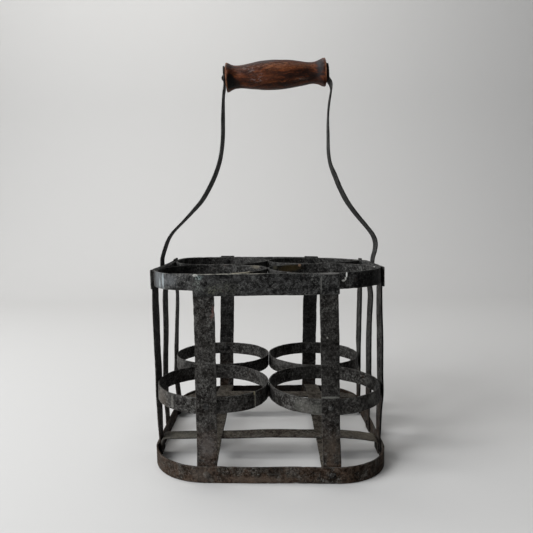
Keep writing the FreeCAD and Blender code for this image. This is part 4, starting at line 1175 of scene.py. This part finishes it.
upper_marks = [
    ((22.0, -14.0, 176.5), (14.0, 12.0, 3.4), (0.085, 0.062, 0.026), 0.75, 0.5, 0.6),
    ((33.5, -5.6, 179.0), (1.6, 2.0, 1.4), (0.34, 0.22, 0.15), 0.85, 0.4, 0.5),
    ((7.5, -29.0, 178.6), (3.0, 5.0, 2.0), (0.24, 0.22, 0.16), 0.6, 0.5, 0.6),
    ((102.2, -46.0, 180.2), (1.2, 2.4, 0.9), (0.30, 0.30, 0.28), 0.8, 0.4, 0.4),
    ((-12.0, -22.0, 179.5), (6.0, 7.0, 2.0), (0.15, 0.135, 0.105), 0.5, 0.6, 0.8),
    ((-26.0, -96.0, 182.0), (17.0, 12.0, 4.2), (0.42, 0.385, 0.290), 0.92, 0.30, 0.8),
    # painted shade: the inner left of the neck rings, away from the window, is painted near black
    ((-92.0, -40.0, 172.0), (26.0, 44.0, 16.0), (0.0028, 0.0028, 0.0028), 0.72, 0.6, 0.8),
]
floor_marks = [
    # pale dust at both ends of the front strip
    ((90.0, -52.0, 16.0), (18.0, 12.0, 9.0), (0.150, 0.136, 0.108), 0.42, 0.7, 1.2),
    ((-82.0, -52.0, 19.0), (24.0, 12.0, 9.0), (0.125, 0.124, 0.106), 0.34, 0.7, 1.2),
]
back_marks = [
    # the back right upright is darker along its length: partly its own tone, partly painted shade
    ((53.0, 107.0, 110.0), (14.0, 5.0, 80.0), (0.0022, 0.0022, 0.0020), 0.55, 0.6, 0.8),
    # grime around the back rivets
    ((-52.4, 106.0, 174.6), (5.2, 7.0, 4.2), (0.0012, 0.0012, 0.0012), 0.95, 0.25, 0.2),
    ((52.8, 106.0, 174.6), (5.2, 7.0, 4.2), (0.0012, 0.0012, 0.0012), 0.95, 0.25, 0.2),
]
rivet_marks = [
    ((-57.0, -110.0, 8.0), (6.0, 6.0, 6.0), (0.078, 0.066, 0.056), 0.75, 0.4, 0.8),
    ((-53.0, 104.0, 173.0), (8.0, 9.0, 8.0), (0.0020, 0.0020, 0.0020), 0.90, 0.3, 0.3),
    ((53.0, 104.0, 173.0), (8.0, 9.0, 8.0), (0.0020, 0.0020, 0.0020), 0.90, 0.3, 0.3),
]
bail_marks = [
    ((84.0, 0.0, 262.0), (34.0, 16.0, 110.0), (0.0070, 0.0070, 0.0068), 0.42, 0.6, 0.8),
]
foot_marks = [
    ((-56.6, -110.0, 8.3), (0.9, 1.5, 1.3), (0.38, 0.37, 0.33), 0.75, 0.4, 0.5),
    ((-60.0, -109.0, 7.0), (10.0, 3.0, 6.0), (0.110, 0.092, 0.078), 0.38, 0.7, 1.1),
    ((0.0, -110.0, 3.5), (38.0, 2.0, 2.6), (0.105, 0.080, 0.062), 0.5, 0.6, 1.2),
    ((66.0, -108.6, 7.0), (6.0, 3.0, 4.0), (0.120, 0.100, 0.080), 0.45, 0.6, 0.9),
    # painted shade: a dark brown patch tones down the window-lit left front corner
    ((-98.0, -86.0, 8.0), (18.0, 26.0, 14.0), (0.030, 0.0200, 0.0135), 0.34, 0.8, 1.6),
    # painted shade: the back run's inner face, in shadow, is painted nearly black
    ((0.0, 107.5, 8.0), (100.0, 7.0, 16.0), (0.0024, 0.0021, 0.0019), 0.82, 0.3, 0.4),
]

M_HOOP = zinc("zinc_hoop", tone=1.15, marks=hoop_marks, seed=1, low_rust=0.0)
M_FOOT = zinc("zinc_foot", tone=1.12, marks=foot_marks, seed=2, warm=0.85, contrast=1.3, speck=1.5)
M_PLATE = zinc("zinc_plate", tone=0.80, contrast=1.4, patches=0.4, marks=plate_marks, seed=3, low_rust=0.0)
M_UPR = zinc("zinc_upright", tone=1.02, marks=upright_marks, seed=4, warm=0.35, patches=0.65)
# the back uprights get a darker copy of the upright finish: partly their own tone, partly painted shade
M_BACK = zinc("zinc_upright_back", tone=0.78, marks=back_marks, seed=5, warm=0.15)
M_RING = zinc("zinc_ring", tone=1.28, marks=ring_marks, seed=6, warm=0.30, patches=0.8, low_rust=0.25)
M_NECK = zinc("zinc_neck_ring", tone=0.90, marks=upper_marks, seed=7, warm=0.15, worn=1.2, low_rust=0.0)
M_FLOOR = zinc("zinc_floor", tone=1.15, marks=floor_marks, seed=8, warm=0.60, dust_and_top_light=0.75, low_rust=0.55)
M_RIVET = zinc("zinc_rivet", tone=0.9, marks=rivet_marks, seed=9, low_rust=0.4, worn=0.8)
M_BAIL = zinc("zinc_bail", tone=0.82, marks=bail_marks, seed=10, low_rust=0.0, contrast=0.6, speck=0.5)
M_WOOD = wood_material("old_grip_wood")

SLOTS = {}
for n, ob in pieces.items():
    if n in ("top_hoop",):
        m, s = M_HOOP, "hoop_metal"
    elif n == "bottom_hoop":
        m, s = M_FOOT, "hoop_metal"
    elif n.startswith("plate"):
        m, s = M_PLATE, "hoop_metal"
    elif n.startswith("upper_ring"):
        m, s = M_NECK, "ring_metal"
    elif n.startswith("lower_ring"):
        m, s = M_RING, "ring_metal"
    elif n.startswith("floor"):
        m, s = M_FLOOR, "floor_metal"
    elif n.startswith("rivets") or n.startswith("pivot"):
        m, s = M_RIVET, "rivet_metal"
    elif n.startswith("bail") or n == "grip_rod":
        m, s = M_BAIL, "bail_metal"
    elif n == "wooden_grip":
        m, s = M_WOOD, "grip_wood"
    elif "_back_" in n and n.startswith("upright_back"):
        m, s = M_BACK, "upright_metal"
    else:
        m, s = M_UPR, "upright_metal"
    ob.data.materials.append(m)
    body = "grip" if n == "wooden_grip" else "bail" if (n.startswith("bail") or n == "grip_rod") else "cage"
    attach(ob, body)

# ------------------------------------------------------ floor, light, camera
def plain(name, rgb, rough=0.9):
    m = bpy.data.materials.new(name)
    m.use_nodes = True
    p = m.node_tree.nodes["Principled BSDF"]
    p.inputs["Base Color"].default_value = tuple(rgb) + (1.0,)
    p.inputs["Roughness"].default_value = rough
    p.inputs["Specular IOR Level"].default_value = 0.2
    return m


def studio_floor():
    ys = [-3.0, -1.5, -0.6, 0.0, 0.6]
    prof = [(y, 0.0) for y in ys]
    r, y0 = 0.75, 0.9
    for k in np.linspace(0, 90, 19):
        a = math.radians(k)
        prof.append((y0 + r * math.sin(a), r - r * math.cos(a)))
    prof += [(y0 + r, 1.6), (y0 + r, 3.0)]
    V, F = [], []
    xs = np.linspace(-3.2, 3.2, 9)
    for y, z in prof:
        for x in xs:
            V.append((x, y, z - 0.0002))
    n = len(xs)
    for i in range(len(prof) - 1):
        for j in range(n - 1):
            F.append((i * n + j, i * n + j + 1, (i + 1) * n + j + 1, (i + 1) * n + j))
    me = bpy.data.meshes.new("studio_floor")
    me.from_pydata(V, [], F)
    me.polygons.foreach_set("use_smooth", [True] * len(F))
    ob = bpy.data.objects.new("studio_floor", me)
    scene.collection.objects.link(ob)
    me.materials.append(plain("pale_floor", (0.54, 0.535, 0.525)))


studio_floor()


def area(name, loc, target, size, energy, rgb=(1, 1, 1)):
    l = bpy.data.lights.new(name, "AREA")
    l.shape = "RECTANGLE"
    l.size, l.size_y = size
    l.energy = energy
    l.color = rgb
    o = bpy.data.objects.new(name, l)
    o.location = loc
    d = Vector(target) - Vector(loc)
    o.rotation_mode = "QUATERNION"
    o.rotation_quaternion = d.to_track_quat("-Z", "Y")
    scene.collection.objects.link(o)
    return o


area("window", (-1.35, -0.75, 0.95), (0.0, 0.0, 0.18), (1.1, 1.3), 42.0, (0.97, 0.985, 1.0))
area("wall_light", (-0.5, 0.45, 2.1), (-0.3, 1.3, 0.5), (2.0, 0.6), 26.0, (1.0, 0.99, 0.97))

world = bpy.data.worlds.new("studio")
scene.world = world
world.use_nodes = True
wt = world.node_tree
wt.nodes.clear()
wo = wt.nodes.new("ShaderNodeOutputWorld")
bg = wt.nodes.new("ShaderNodeBackground")
tc = wt.nodes.new("ShaderNodeTexCoord")
sx = wt.nodes.new("ShaderNodeSeparateXYZ")
mr = wt.nodes.new("ShaderNodeMapRange")
mr.interpolation_type = "SMOOTHSTEP"
mr.inputs["From Min"].default_value = -0.9
mr.inputs["From Max"].default_value = 0.45
mr.inputs["To Min"].default_value = 0.58
mr.inputs["To Max"].default_value = 0.03
wt.links.new(tc.outputs["Generated"], sx.inputs[0])
wt.links.new(sx.outputs[0], mr.inputs["Value"])
wt.links.new(mr.outputs[0], bg.inputs["Strength"])
bg.inputs["Color"].default_value = (0.93, 0.95, 1.0, 1.0)
wt.links.new(bg.outputs[0], wo.inputs[0])

# camera solved from the hoops, uprights and rings
yaw, pitch, roll = -0.0025, 0.0744, -0.0128
fw = np.array([math.sin(yaw) * math.cos(pitch), math.cos(yaw) * math.cos(pitch), -math.sin(pitch)])
r0 = np.array([math.cos(yaw), -math.sin(yaw), 0.0])
u0 = np.cross(r0, fw)
cr, sr = math.cos(roll), math.sin(roll)
r2 = cr * r0 + sr * u0
u2 = -sr * r0 + cr * u0
cam = bpy.data.cameras.new("view")
cam.sensor_width = 36.0
cam.lens = 36.0 * 502.485 / 533.0
cam.shift_y = -(266.5 - 262.238) / 533.0
cam.clip_start, cam.clip_end = 0.01, 50.0
co = bpy.data.objects.new("view", cam)
scene.collection.objects.link(co)
co.matrix_world = Matrix([[r2[0], u2[0], -fw[0], 0.000411], [r2[1], u2[1], -fw[1], -0.526369],
                          [r2[2], u2[2], -fw[2], 0.22132], [0, 0, 0, 1]])
scene.camera = co
scene.view_settings.view_transform = "Standard"
scene.view_settings.look = "None"
